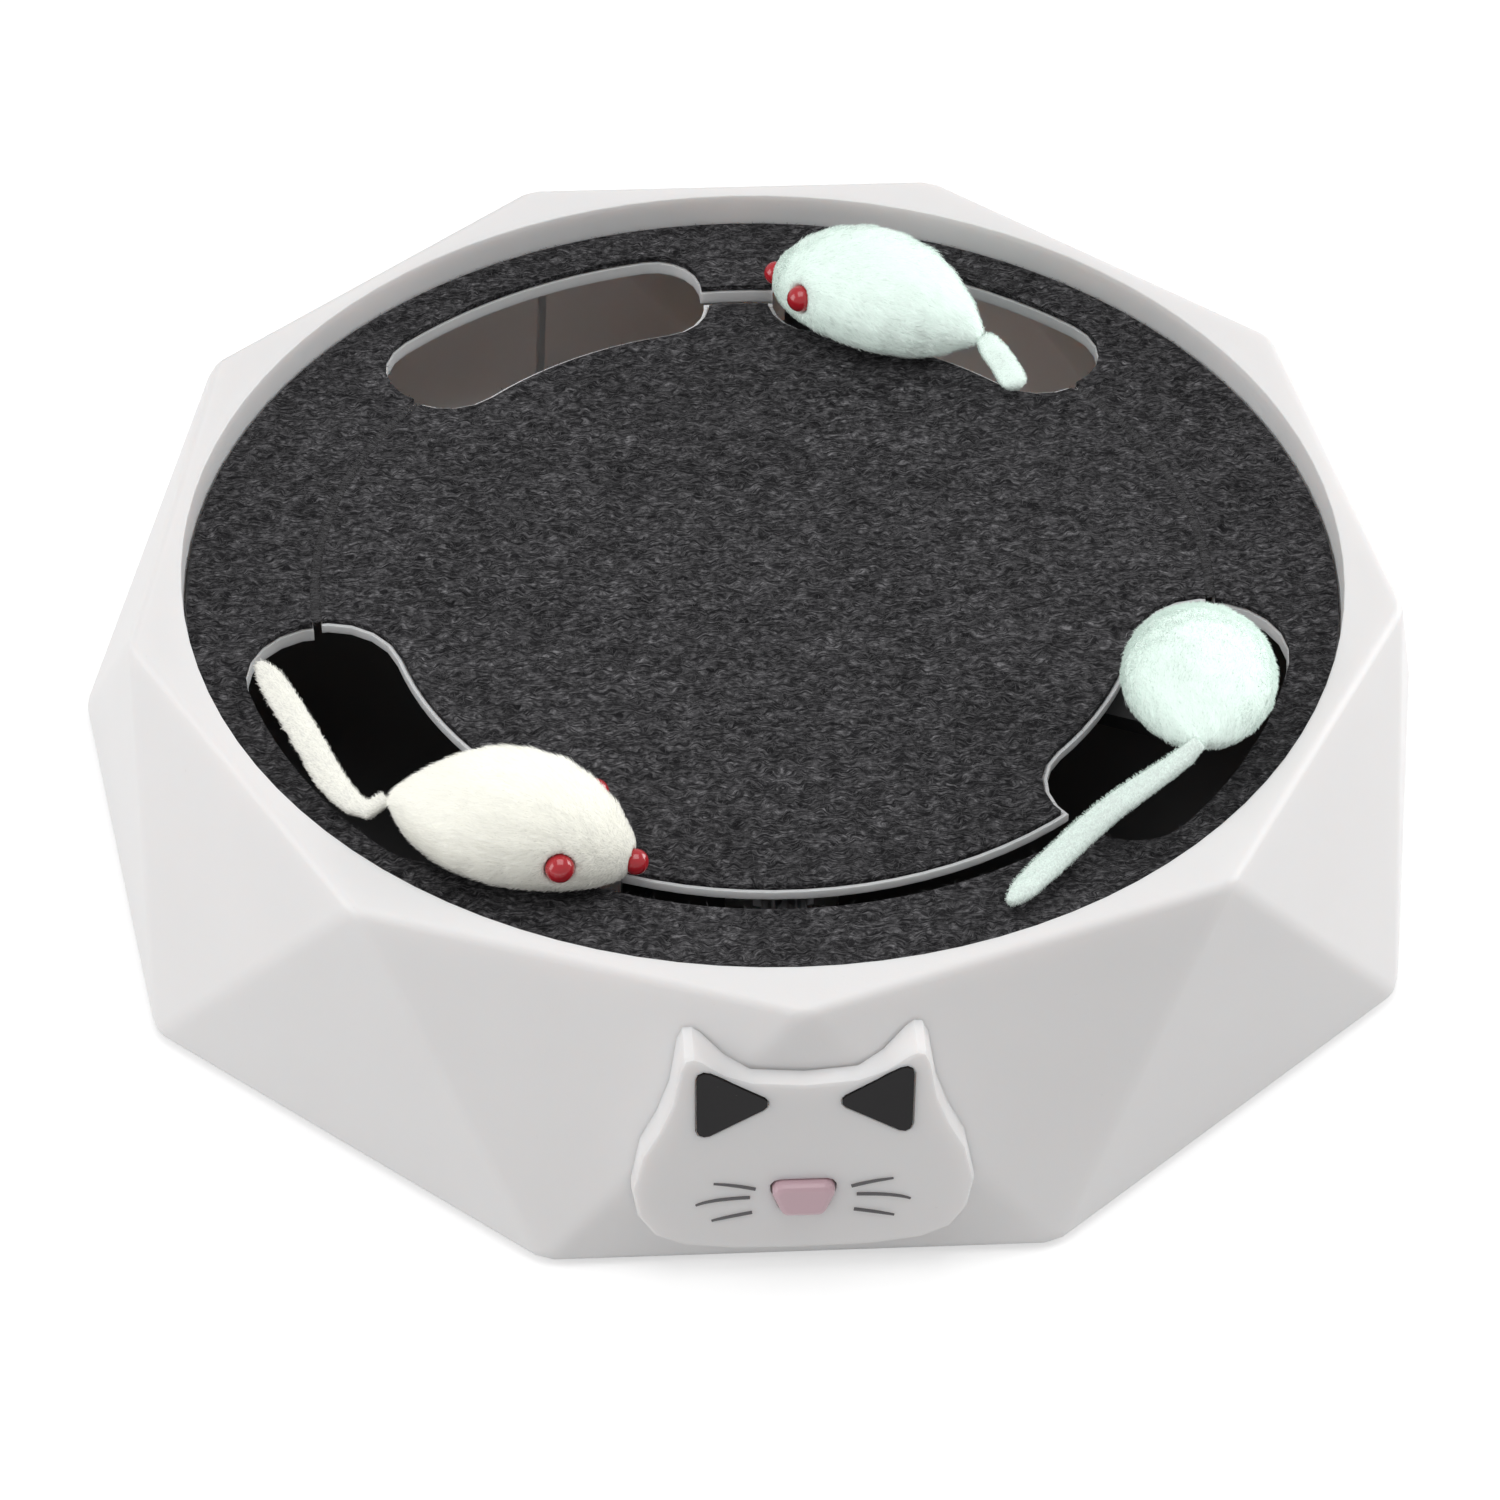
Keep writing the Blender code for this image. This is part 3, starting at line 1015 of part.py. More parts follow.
def make_mouse(letter, mouse, rotor):
    finish = "cream_plush" if letter == "a" else "mint_plush"
    turn = math.radians(mouse["stem"])
    spot = Vector((STEM_CIRCLE * math.cos(turn), STEM_CIRCLE * math.sin(turn), PAD_TOP))
    chord = math.asin((MOUSE_LENGTH - NOSE_TO_STEM) / (2 * STEM_CIRCLE))
    heading = math.radians(mouse["stem"] + 90 + mouse["lean"]) - chord
    pitch = math.radians(mouse["pitch"])
    level = axis_empty(f"mouse_{letter}_swivel", spot, (0.0, 0.0, heading))
    level.parent = rotor
    tilted = axis_empty(f"mouse_{letter}_tilt", (0.0, 0.0, 0.0), (0.0, pitch, 0.0))
    tilted.parent = level
    bpy.context.view_layer.update()
    skin = loft([body_ring(row) for row in BODY_SHARES])
    body = place(f"mouse_{letter}_body", skin, finish, tilted, smooth=80)
    bpy.context.view_layer.update()
    nose_centre = Vector((NOSE_TO_STEM, 0.0, NOSE_HEIGHT_SHARE * MOUSE_HEIGHT))
    beads = [(f"mouse_{letter}_nose", NOSE_RADIUS, nose_centre)]
    for side, word in ((1, "left"), (-1, "right")):
        centre = Vector((NOSE_TO_STEM - EYE_BACK_SHARE * MOUSE_LENGTH,
                         side * EYE_SIDE_SHARE * MOUSE_HALF_WIDTH, EYE_HEIGHT_SHARE * MOUSE_HEIGHT))
        beads.append((f"mouse_{letter}_{word}_eye", EYE_RADIUS, centre))
    for name, radius, centre in beads:
        place(name, ball(radius, centre), "red_bead", tilted, smooth=80)
        combine(body, moved(ball(radius + GAP, centre), tilted.matrix_world))
    hole_top = STEM_RISE + STEM_PIN_LENGTH + GAP
    hole = disc(STEM_PIN_RADIUS + GAP, -OVERRUN, hole_top, 12)
    combine(body, moved(hole, level.matrix_world))
    make_tail(f"mouse_{letter}_tail", finish, level, pitch, mouse["tail_shares"])
    blade_low = ARM_TOP - ARM_SOCKET_DEPTH + GAP
    blade = block(STEM_THICKNESS, STEM_WIDTH, blade_low, PAD_TOP + STEM_RISE, (STEM_CIRCLE, 0.0))
    turn_matrix = Matrix.Rotation(turn, 4, "Z")
    stem = place(f"stem_{letter}", moved(blade, turn_matrix), "steel", rotor)
    top = PAD_TOP + STEM_RISE
    pin = disc(STEM_PIN_RADIUS, top - STEM_RISE, top + STEM_PIN_LENGTH, 12, (STEM_CIRCLE, 0.0))
    combine(stem, moved(pin, turn_matrix), "UNION")


def main():
    for old in list(bpy.data.objects):
        bpy.data.objects.remove(old)
    foot, lean = front_frame()
    front = axis_empty("front_facet", foot, (lean, 0.0, 0.0))
    rotor = axis_empty("rotor_axis", (0.0, 0.0, 0.0))
    bpy.context.view_layer.update()
    make_shell(front)
    make_deck()
    make_base()
    make_feet_and_screws()
    make_post()
    make_rotor(rotor)
    make_idler()
    make_motor()
    make_batteries()
    make_face(front)
    board_top = make_button(front)
    make_board_posts(front, board_top)
    for letter, mouse in MICE.items():
        make_mouse(letter, mouse, rotor)


main()
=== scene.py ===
"""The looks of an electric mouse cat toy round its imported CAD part: white plastic, felt, plush, and a
white stage with its camera. It is laid out as a Blender add-on, with one operator for each group of
pieces. Metres, and +Z up."""

import math

import bpy
import numpy as np
from mathutils import Matrix, Vector


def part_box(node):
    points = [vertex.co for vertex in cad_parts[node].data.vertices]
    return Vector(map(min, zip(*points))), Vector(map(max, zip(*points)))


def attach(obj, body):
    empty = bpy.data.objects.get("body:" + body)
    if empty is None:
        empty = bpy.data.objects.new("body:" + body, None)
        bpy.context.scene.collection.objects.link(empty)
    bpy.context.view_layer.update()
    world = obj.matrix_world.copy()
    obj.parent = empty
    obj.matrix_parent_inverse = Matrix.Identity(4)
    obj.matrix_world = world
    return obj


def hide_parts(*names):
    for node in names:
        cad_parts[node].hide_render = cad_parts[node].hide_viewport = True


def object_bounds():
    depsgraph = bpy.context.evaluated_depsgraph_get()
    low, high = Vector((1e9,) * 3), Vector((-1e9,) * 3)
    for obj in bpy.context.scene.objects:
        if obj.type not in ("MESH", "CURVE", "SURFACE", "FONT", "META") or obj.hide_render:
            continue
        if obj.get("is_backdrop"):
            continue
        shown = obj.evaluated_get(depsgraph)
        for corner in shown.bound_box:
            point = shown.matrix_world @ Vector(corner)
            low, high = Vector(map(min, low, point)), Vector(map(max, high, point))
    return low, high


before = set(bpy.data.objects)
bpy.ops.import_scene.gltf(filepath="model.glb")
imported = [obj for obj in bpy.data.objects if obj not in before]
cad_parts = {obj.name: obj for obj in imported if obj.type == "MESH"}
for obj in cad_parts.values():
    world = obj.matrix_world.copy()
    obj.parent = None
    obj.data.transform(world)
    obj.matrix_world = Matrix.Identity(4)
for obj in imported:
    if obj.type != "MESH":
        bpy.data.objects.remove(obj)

bl_info = {
    "name": "Electric mouse cat toy",
    "version": (1, 0, 0),
    "blender": (4, 5, 0),
    "location": "3D View > Sidebar > Cat Toy",
    "description": "Builds the looks of an electric mouse cat toy on its CAD frame",
    "category": "Object",
}

# Pieces
HOUSING = "housing"
MICE = ("a", "b", "c")
MERGE_DISTANCE = 0.00001
FLAT_ANGLE = 0.8
SMOOTH_ANGLE = 32.0
WHISKER_SMOOTH_ANGLE = 60.0
NORMAL_WEIGHT = 80
UP = np.array([0.0, 0.0, 1.0])
FINISH_PREFIX = "finish_"

# An edge is on the rim or on top of a deck when it is as near as this to the circle, and to the height
RIM_REACH = 0.0012
TOP_REACH = RIM_REACH / 10

# Plastic that lets light through: how far each colour spreads in it, and over what distance
SPREAD_BY_COLOUR = (1.0, 0.86, 0.79)
SPREAD_DEPTH = 0.004
COAT_ROUGHNESS = 0.12

# Lines in the finishes: lumps to the metre on each axis, and the layers of felt by turn and shift
SCRATCH_SCALE = (70.0, 1500.0, 900.0)
SCRATCH_TURN = (0.3, 0.5, 0.9)
DRAWN_SCALE = (120.0, 5200.0, 5200.0)
FELT_SCALE = (560.0, 3000.0, 2000.0)
FELT_LAYERS = ((0.4, 3.1), (1.5, 7.7), (2.6, 1.9))
FELT_WANDER = (0.004, 0.004, 0.0)

# A battery cell, measured along it from its middle: its bare end and its paler band
CELL_BARE_FROM = 0.0244
CELL_BAND = (0.0155, 0.0170)

# Pile: the distance from the nose where fur is longest, the clearing round a bead, and the shortest tuft
FUR_GROWTH = 0.030
BEAD_CLEARING = 0.0022
SHORTEST_TUFT = 0.00012
WAVE_COUNT = 6
# A strand's five points: two at its root, two at its bend and one at its tip, and how far along each is
STRAND_POINTS = 5
STRAND_PLACES = [0.0, 0.0, 0.55, 0.55, 1.0]
STRAND_BEND_WIDTH = 0.8
QUICK_FUR_DIVISOR = 4
QUICK_NAP_SHARE = 0.3

# Places on the front facet, measured up it and outwards from it
FACET_FOOT = Vector((0.0, -0.12216, 0.001))
FACET_UP = Vector((0.0, 0.10076, 0.99491))
FACET_OUT = Vector((0.0, -0.99491, 0.10076))
BUTTON_EDGE_DEPTH = 0.0016
PLATE_FRONT = 0.0040
# A whisker runs from its tip over its bend to its root: across and up, on the right-hand side
WHISKERS = (
    ((0.0153, 0.0210), (0.0114, 0.02055), (0.0082, 0.0195)),
    ((0.0183, 0.0162), (0.0158, 0.01755), (0.0091, 0.01765)),
    ((0.0156, 0.01255), (0.0126, 0.01345), (0.0087, 0.0142)),
)

# Thickness of a whisker at those places, as shares of its radius
WHISKER_SHARES = (0.6, 1.0, 0.9)

# The narrow parts of the slot, in degrees from the front, half its width between the felts, and how far
# outside the gap the fibres over it are rooted
NARROW_SLOT = (84.2, 129.2)
HALF_GAP = 0.00095
BRUSH_ROOT = 0.0004

# Camera, fitted to the photograph
CAMERA_PLACE = (-0.051998, -0.706323, 0.678150)
CAMERA_RIGHT = (0.99824225, -0.05754311, 0.01418484)
CAMERA_UP = (0.02937358, 0.68825264, 0.7248762)
CAMERA_BACK = (-0.05147438, -0.72318538, 0.68873311)
CAMERA_LENS = 123.83
CAMERA_NEAR = 0.05

# Lamps: name, place, size, which of the stage's powers they take, and what share of it
LAMP_TARGET = (0.0, 0.0, 0.04)
LAMPS = (
    ("key_light", (0.0, -0.06, 0.62), 0.45, "key", 1.0),
    ("left_light", (-1.1, -0.12, 0.45), 0.8, "side", 1.0),
    ("right_light", (1.05, 0.45, 0.32), 0.8, "side", 1.75),
)


def length(name, description, default):
    """A length in metres as a property."""
    return bpy.props.FloatProperty(name=name, description=description, default=default, unit="LENGTH",
                                   precision=5)


def colour(name, description, default):
    """A colour as a property."""
    return bpy.props.FloatVectorProperty(name=name, description=description, default=default, size=3,
                                         subtype="COLOR", min=0.0, max=1.0)


def amount(name, description, default):
    """A plain number as a property."""
    return bpy.props.FloatProperty(name=name, description=description, default=default)


def number(name, description, default):
    """A count as a property."""
    return bpy.props.IntProperty(name=name, description=description, default=default, min=1)


class CatToySizes(bpy.types.PropertyGroup):
    """Sizes and counts of what is added to the CAD pieces."""

    rim_bevel: length("Rim rounding", "Rounding of the round rim's upper edge", 0.0009)
    edge_bevel: length("Edge rounding", "Rounding of the deck's edges", 0.00016)
    remesh: length("Plush mesh", "Distance between the points of a plush body's skin", 0.0007)
    fur_length: length("Fur length", "Length of the longest fur, on a mouse's back", 0.0022)
    fur_width: length("Fur width", "Width of one tuft of fur at its root", 0.00016)
    fur_count: number("Fur count", "Tufts on one mouse's body", 36000)
    tail_fur_length: length("Tail fur length", "Length of the fur on a tail", 0.0010)
    tail_fur_count: number("Tail fur count", "Tufts on one tail", 6000)
    nap_length: length("Nap length", "Length of a loose fibre on the felt", 0.0022)
    nap_width: length("Nap width", "Width of a loose fibre on the felt", 0.00007)
    nap_density: amount("Nap density", "Loose fibres on a square millimetre of felt", 1.6)
    brush_spacing: length("Brush spacing", "Distance between the fibres that close the slot", 0.00004)
    whisker_radius: length("Whisker radius", "Radius of a whisker where it is thickest", 0.00038)
    button_bevel: length("Button rounding", "Rounding round the front of the nose button", 0.0008)


class CatToyColours(bpy.types.PropertyGroup):
    """Colours of the finishes."""

    white: colour("White plastic", "Housing, deck and face plate", (0.85, 0.830, 0.826))
    dark: colour("Dark plastic", "Base, door and spider", (0.012, 0.012, 0.013))
    felt: colour("Felt", "Ground colour of the felt", (0.0175, 0.017, 0.0185))
    fleck: colour("Felt fleck", "Pale fibres in the felt", (0.178, 0.175, 0.182))
    cream: colour("Cream plush", "The cream mouse", (0.985, 0.98, 0.92))
    mint: colour("Mint plush", "The mint mice", (0.90, 0.99, 0.945))
    red: colour("Red bead", "Eyes and noses of the mice", (0.46, 0.012, 0.022))
    ear: colour("Ear inset", "The ears of the face plate", (0.012, 0.011, 0.012))
    whisker: colour("Whiskers", "The whiskers of the face plate", (0.12, 0.115, 0.12))
    pink: colour("Nose button", "The button in the face plate", (0.63, 0.43, 0.48))
    nylon: colour("Nylon", "Gears, post and bracket", (0.78, 0.77, 0.72))
    steel: colour("Steel", "Screws, pins and plates", (0.55, 0.55, 0.56))
    wrap: colour("Cell wrap", "Wrap of the battery cells", (0.10, 0.22, 0.34))
    board: colour("Board", "Lacquer of the circuit board", (0.03, 0.20, 0.08))
    rubber: colour("Rubber", "Feet", (0.03, 0.03, 0.03))


class CatToyStage(bpy.types.PropertyGroup):
    """Light, floor and surroundings."""

    floor_size: length("Floor size", "Side of the floor", 12.0)
    floor_shade: amount("Floor shade", "How much light the floor throws back", 0.68)
    floor_glow: amount("Floor glow", "What the floor adds to reach white in the picture", 0.50)
    sky: amount("Sky", "Strength of the light from all round", 0.48)
    key: amount("Key", "Power of the light above", 1.32)
    side: amount("Side", "Power of each side light", 4.5)


# Node helpers


def add(tree, kind, inputs=None, **settings):
    """A shader node with its settings, and inputs that are set or joined to other nodes' sockets."""
    made = tree.nodes.new("ShaderNode" + kind)
    for name, value in settings.items():
        setattr(made, name, value)
    for name, value in (inputs or {}).items():
        if isinstance(value, bpy.types.NodeSocket):
            tree.links.new(value, made.inputs[name])
        else:
            made.inputs[name].default_value = value
    return made


def maths(tree, operation, first, second=0.0, clamp=False):
    """The result of one sum."""
    return add(tree, "Math", {0: first, 1: second}, operation=operation, use_clamp=clamp).outputs[0]


def times(tree, first, second):
    """The product of two values."""
    return maths(tree, "MULTIPLY", first, second)


def spread(tree, value, low, high, to_low=0.0, to_high=1.0):
    """A value moved from one span to another, and kept inside it."""
    made = add(tree, "MapRange", {0: value, 1: low, 2: high, 3: to_low, 4: to_high})
    return made.outputs[0]


def blend(tree, factor, first, second, mode="MIX"):
    """Two colours mixed."""
    made = add(tree, "Mix", data_type="RGBA", blend_type=mode)
    for index, value in ((0, factor), (6, first), (7, second)):
        if isinstance(value, bpy.types.NodeSocket):
            tree.links.new(value, made.inputs[index])
        else:
            made.inputs[index].default_value = value
    return made.outputs[2]


def noise_at(tree, place, size, detail=2.0, roughness=0.5):
    """Noise whose lumps have one size, in metres or as a socket of lumps to the metre."""
    scale = size if isinstance(size, bpy.types.NodeSocket) else 1.0 / size
    inputs = {"Vector": place, "Scale": scale, "Detail": detail, "Roughness": roughness}
    return add(tree, "TexNoise", inputs).outputs[0]


def lines_at(tree, place, scale, turn=(0.0, 0.0, 0.0), shift=(0.0, 0.0, 0.0), detail=2.0):
    """Noise that is drawn out into lines by its own scale on each axis."""
    run = add(tree, "Mapping", {"Vector": place, "Location": shift, "Rotation": turn, "Scale": scale})
    return add(tree, "TexNoise", {"Vector": run.outputs[0], "Scale": 1.0, "Detail": detail}).outputs[0]


def shaded(tree, base, shade):
    """A colour made darker or paler by a value near one."""
    tint = add(tree, "CombineColor", {0: shade, 1: shade, 2: shade}).outputs[0]
    return blend(tree, 1.0, base, tint, "MULTIPLY")


def opaque(value):
    """A colour as a socket takes it."""
    return (value[0], value[1], value[2], 1.0)


def group(name, inputs, outputs):
    """A new shader node group: its tree, its inputs' sockets, and its output node."""
    tree = bpy.data.node_groups.new(name, "ShaderNodeTree")
    for label, kind, value in inputs:
        made = tree.interface.new_socket(label, in_out="INPUT", socket_type="NodeSocket" + kind)
        made.default_value = value
    for label, kind in outputs:
        tree.interface.new_socket(label, in_out="OUTPUT", socket_type="NodeSocket" + kind)
    entry = tree.nodes.new("NodeGroupInput")
    leave = tree.nodes.new("NodeGroupOutput")
    return tree, entry.outputs, leave


def moulded_group():
    """Moulded plastic: fine spark-eroded grain, slow shade drift, and rare small scuffs."""
    inputs = (("Colour", "Color", (0.8, 0.8, 0.8, 1.0)), ("Roughness", "Float", 0.4),
              ("Grain per metre", "Float", 2600.0), ("Scuffs", "Float", 0.4))
    outputs = (("Colour", "Color"), ("Roughness", "Float"), ("Height", "Float"))
    tree, given, leave = group("Moulded plastic", inputs, outputs)
    place = add(tree, "TexCoord").outputs["Object"]
    grain = noise_at(tree, place, given["Grain per metre"], 3.0, 0.6)
    drift = noise_at(tree, place, 0.045, 2.0)
    dust = noise_at(tree, place, 0.0011, 2.0, 0.7)
    line = spread(tree, lines_at(tree, place, SCRATCH_SCALE, SCRATCH_TURN), 0.70, 0.80)
    patch = spread(tree, noise_at(tree, place, 0.02, 1.0), 0.52, 0.66)
    scuff = times(tree, times(tree, line, patch), given["Scuffs"])
    speck = spread(tree, dust, 0.72, 0.80)
    shade = spread(tree, drift, 0.25, 0.75, 0.975, 1.015)
    toned = shaded(tree, given["Colour"], shade)
    specked = blend(tree, times(tree, speck, 0.10), toned, (0.35, 0.34, 0.33, 1.0))
    rough = maths(tree, "ADD", given["Roughness"], spread(tree, drift, 0.3, 0.7, -0.03, 0.03))
    rough = maths(tree, "ADD", rough, times(tree, scuff, 0.25), clamp=True)
    low = maths(tree, "SUBTRACT", times(tree, grain, 0.8), times(tree, scuff, 0.5))
    tree.links.new(specked, leave.inputs["Colour"])
    tree.links.new(rough, leave.inputs["Roughness"])
    tree.links.new(low, leave.inputs["Height"])
    return tree


def felt_group():
    """Heathered felt: matted dark fibres with paler and darker flecks."""
    inputs = (("Ground", "Color", (0.04, 0.04, 0.04, 1.0)), ("Fleck", "Color", (0.1, 0.1, 0.1, 1.0)))
    outputs = (("Colour", "Color"), ("Height", "Float"))
    tree, given, leave = group("Heathered felt", inputs, outputs)
    place = add(tree, "TexCoord").outputs["Object"]
    wander = add(tree, "TexNoise", {"Vector": place, "Scale": 320.0, "Detail": 1.0}).outputs[1]
    bent = add(tree, "VectorMath", {0: wander, 1: FELT_WANDER}, operation="MULTIPLY").outputs[0]
    moved = add(tree, "VectorMath", {0: place, 1: bent}, operation="ADD").outputs[0]
    first, second, third = (lines_at(tree, moved, FELT_SCALE, (0.0, 0.0, turn), (shift, shift, 0.0))
                            for turn, shift in FELT_LAYERS)
    most = maths(tree, "MAXIMUM", maths(tree, "MAXIMUM", first, second), third)
    least = maths(tree, "MINIMUM", maths(tree, "MINIMUM", first, second), third)
    lump = noise_at(tree, place, 0.0013, 3.0, 0.65)
    mottle = noise_at(tree, place, 0.0032, 3.0, 0.6)
    cloud = noise_at(tree, place, 0.014, 2.0)
    pale = times(tree, spread(tree, most, 0.50, 0.74), spread(tree, lump, 0.38, 0.62, 0.15, 1.0))
    dark = spread(tree, least, 0.44, 0.28)
    deep = blend(tree, times(tree, dark, 0.7), given["Ground"], (0.005, 0.005, 0.006, 1.0))
    flecked = blend(tree, pale, deep, given["Fleck"])
    shade = times(tree, spread(tree, mottle, 0.35, 0.65, 0.66, 1.34),
                  spread(tree, cloud, 0.3, 0.7, 0.90, 1.10))
    tree.links.new(shaded(tree, flecked, shade), leave.inputs["Colour"])
    height = maths(tree, "ADD", times(tree, most, 0.6), times(tree, lump, 0.5))
    tree.links.new(height, leave.inputs["Height"])
    return tree


def tuft_group():
    """Tufts of pile: darker towards the root as painted shade, and each a little different."""
    inputs = (("Colour", "Color", (0.8, 0.8, 0.8, 1.0)), ("Root shade", "Float", 0.7),
              ("Vary", "Float", 0.08))
    tree, given, leave = group("Pile tufts", inputs, (("Colour", "Color"),))
    strand = add(tree, "Attribute", attribute_name="strand").outputs["Color"]
    parts = add(tree, "SeparateColor", {0: strand})
    along, chance = parts.outputs[0], parts.outputs[1]
    # Painted shade: each tuft is darker towards its root, where the tufts round it would shade it
    rise = spread(tree, along, 0.0, 0.75, given["Root shade"], 1.0)
    swing = times(tree, spread(tree, chance, 0.0, 1.0, -1.0, 1.0), given["Vary"])
    shade = times(tree, rise, maths(tree, "ADD", 1.0, swing))
    tree.links.new(shaded(tree, given["Colour"], shade), leave.inputs["Colour"])
    return tree


def metal_group():
    """Rolled or drawn metal: fine lines along X, soft stains and small pits."""
    inputs = (("Colour", "Color", (0.5, 0.5, 0.5, 1.0)), ("Roughness", "Float", 0.35))
    outputs = (("Colour", "Color"), ("Roughness", "Float"), ("Height", "Float"))
    tree, given, leave = group("Drawn metal", inputs, outputs)
    place = add(tree, "TexCoord").outputs["Object"]
    lines = lines_at(tree, place, DRAWN_SCALE, detail=3.0)
    stain = noise_at(tree, place, 0.006, 3.0, 0.6)
    pits = spread(tree, noise_at(tree, place, 0.0005, 1.0), 0.70, 0.78)
    shade = times(tree, spread(tree, lines, 0.3, 0.7, 0.93, 1.05),
                  spread(tree, stain, 0.3, 0.7, 0.92, 1.04))
    tree.links.new(shaded(tree, given["Colour"], shade), leave.inputs["Colour"])
    rough = maths(tree, "ADD", given["Roughness"], spread(tree, stain, 0.3, 0.7, -0.05, 0.08))
    tree.links.new(rough, leave.inputs["Roughness"])
    tree.links.new(maths(tree, "SUBTRACT", lines, times(tree, pits, 0.6)), leave.inputs["Height"])
    return tree


def shared(name, make):
    """A shared node group, made once."""
    return bpy.data.node_groups.get(name) or make()


def effect(tree, name, make, inputs):
    """A shared effect in a material's tree."""
    made = tree.nodes.new("ShaderNodeGroup")
    made.node_tree = shared(name, make)
    for label, value in inputs.items():
        made.inputs[label].default_value = value
    return made.outputs


def known(name):
    """A finish that was made before, or None. The prefix keeps it apart from the CAD's own materials."""
    return bpy.data.materials.get(FINISH_PREFIX + name)


def new_material(name):
    """A plain material, its tree and its Principled shader."""
    made = bpy.data.materials.new(FINISH_PREFIX + name)
    made.use_nodes = True
    return made, made.node_tree, made.node_tree.nodes["Principled BSDF"]


def bump(tree, shader, height, depth):
    """Surface relief of a real depth, in metres."""
    relief = add(tree, "Bump", {"Height": height, "Strength": 1.0, "Distance": depth})
    tree.links.new(relief.outputs[0], shader.inputs["Normal"])


def plastic(name, value, roughness, grain=2600.0, scuffs=0.4, depth=0.00002, coat=0.0, shine=0.5,
            through=0.0):
    """A moulded plastic, made once."""
    found = known(name)
    if found:
        return found
    made, tree, shader = new_material(name)
    out = effect(tree, "Moulded plastic", moulded_group, {
        "Colour": opaque(value), "Roughness": roughness, "Grain per metre": grain, "Scuffs": scuffs})
    tree.links.new(out["Colour"], shader.inputs["Base Color"])
    tree.links.new(out["Roughness"], shader.inputs["Roughness"])
    shader.inputs["Specular IOR Level"].default_value = shine
    shader.inputs["Subsurface Weight"].default_value = through
    shader.inputs["Subsurface Radius"].default_value = SPREAD_BY_COLOUR
    shader.inputs["Subsurface Scale"].default_value = SPREAD_DEPTH
    shader.inputs["Coat Weight"].default_value = coat
    shader.inputs["Coat Roughness"].default_value = COAT_ROUGHNESS
    bump(tree, shader, out["Height"], depth)
    return made


def white_plastic(colours):
    """The plastic of the housing, the deck and the face plate, which lets a little light through."""
    return plastic("white_plastic", colours.white, 0.40, through=0.65)


def metal(name, value, roughness):
    """A drawn or plated metal, made once."""
    found = known(name)
    if found:
        return found
    made, tree, shader = new_material(name)
    out = effect(tree, "Drawn metal", metal_group, {"Colour": opaque(value), "Roughness": roughness})
    tree.links.new(out["Colour"], shader.inputs["Base Color"])
    tree.links.new(out["Roughness"], shader.inputs["Roughness"])
    shader.inputs["Metallic"].default_value = 1.0
    bump(tree, shader, out["Height"], 0.00001)
    return made


def felt(colours):
    """The pad's felt, made once."""
    found = known("felt")
    if found:
        return found
    made, tree, shader = new_material("felt")
    out = effect(tree, "Heathered felt", felt_group, {
        "Ground": opaque(colours.felt), "Fleck": opaque(colours.fleck)})
    tree.links.new(out["Colour"], shader.inputs["Base Color"])
    shader.inputs["Roughness"].default_value = 0.95
    shader.inputs["Specular IOR Level"].default_value = 0.08
    bump(tree, shader, out["Height"], 0.00025)
    return made


def pile(name, value, painted_root_shade, sheen, vary=0.05):
    """Pile that is made of tufts, made once."""
    found = known(name)
    if found:
        return found
    made, tree, shader = new_material(name)
    out = effect(tree, "Pile tufts", tuft_group, {
        "Colour": opaque(value), "Root shade": painted_root_shade, "Vary": vary})
    tree.links.new(out["Colour"], shader.inputs["Base Color"])
    shader.inputs["Roughness"].default_value = 0.9
    shader.inputs["Specular IOR Level"].default_value = 0.15
    shader.inputs["Sheen Weight"].default_value = sheen
    shader.inputs["Sheen Roughness"].default_value = 0.5
    return made


def backing(name, value):
    """The cloth under the pile: a fine knit, made once."""
    found = known(name)
    if found:
        return found
    made, tree, shader = new_material(name)
    place = add(tree, "TexCoord").outputs["Object"]
    knit = add(tree, "TexVoronoi", {"Vector": place, "Scale": 2200.0}).outputs[0]
    shade = spread(tree, knit, 0.0, 0.7, 1.0, 0.85)
    ground = opaque([part * 0.95 for part in value])
    tree.links.new(shaded(tree, ground, shade), shader.inputs["Base Color"])
    shader.inputs["Roughness"].default_value = 0.95
    bump(tree, shader, knit, -0.0001)
    return made


def cell_wrap(colours):
    """A battery cell's sleeve with a bare metal end and a paler band, along X."""
    made, tree, shader = new_material("cell_wrap")
    out = effect(tree, "Moulded plastic", moulded_group, {
        "Colour": opaque(colours.wrap), "Roughness": 0.3, "Grain per metre": 900.0, "Scuffs": 0.6})
    place = add(tree, "TexCoord").outputs["Object"]
    across = maths(tree, "ABSOLUTE", add(tree, "SeparateXYZ", {0: place}).outputs[0])
    bare = maths(tree, "GREATER_THAN", across, CELL_BARE_FROM)
    band = times(tree, maths(tree, "GREATER_THAN", across, CELL_BAND[0]),
                 maths(tree, "LESS_THAN", across, CELL_BAND[1]))
    banded = blend(tree, band, out["Colour"], (0.62, 0.60, 0.55, 1.0))
    tree.links.new(blend(tree, bare, banded, opaque(colours.steel)), shader.inputs["Base Color"])
    tree.links.new(out["Roughness"], shader.inputs["Roughness"])
    tree.links.new(bare, shader.inputs["Metallic"])
    shader.inputs["Coat Weight"].default_value = 0.3
    bump(tree, shader, out["Height"], 0.00001)
    return made


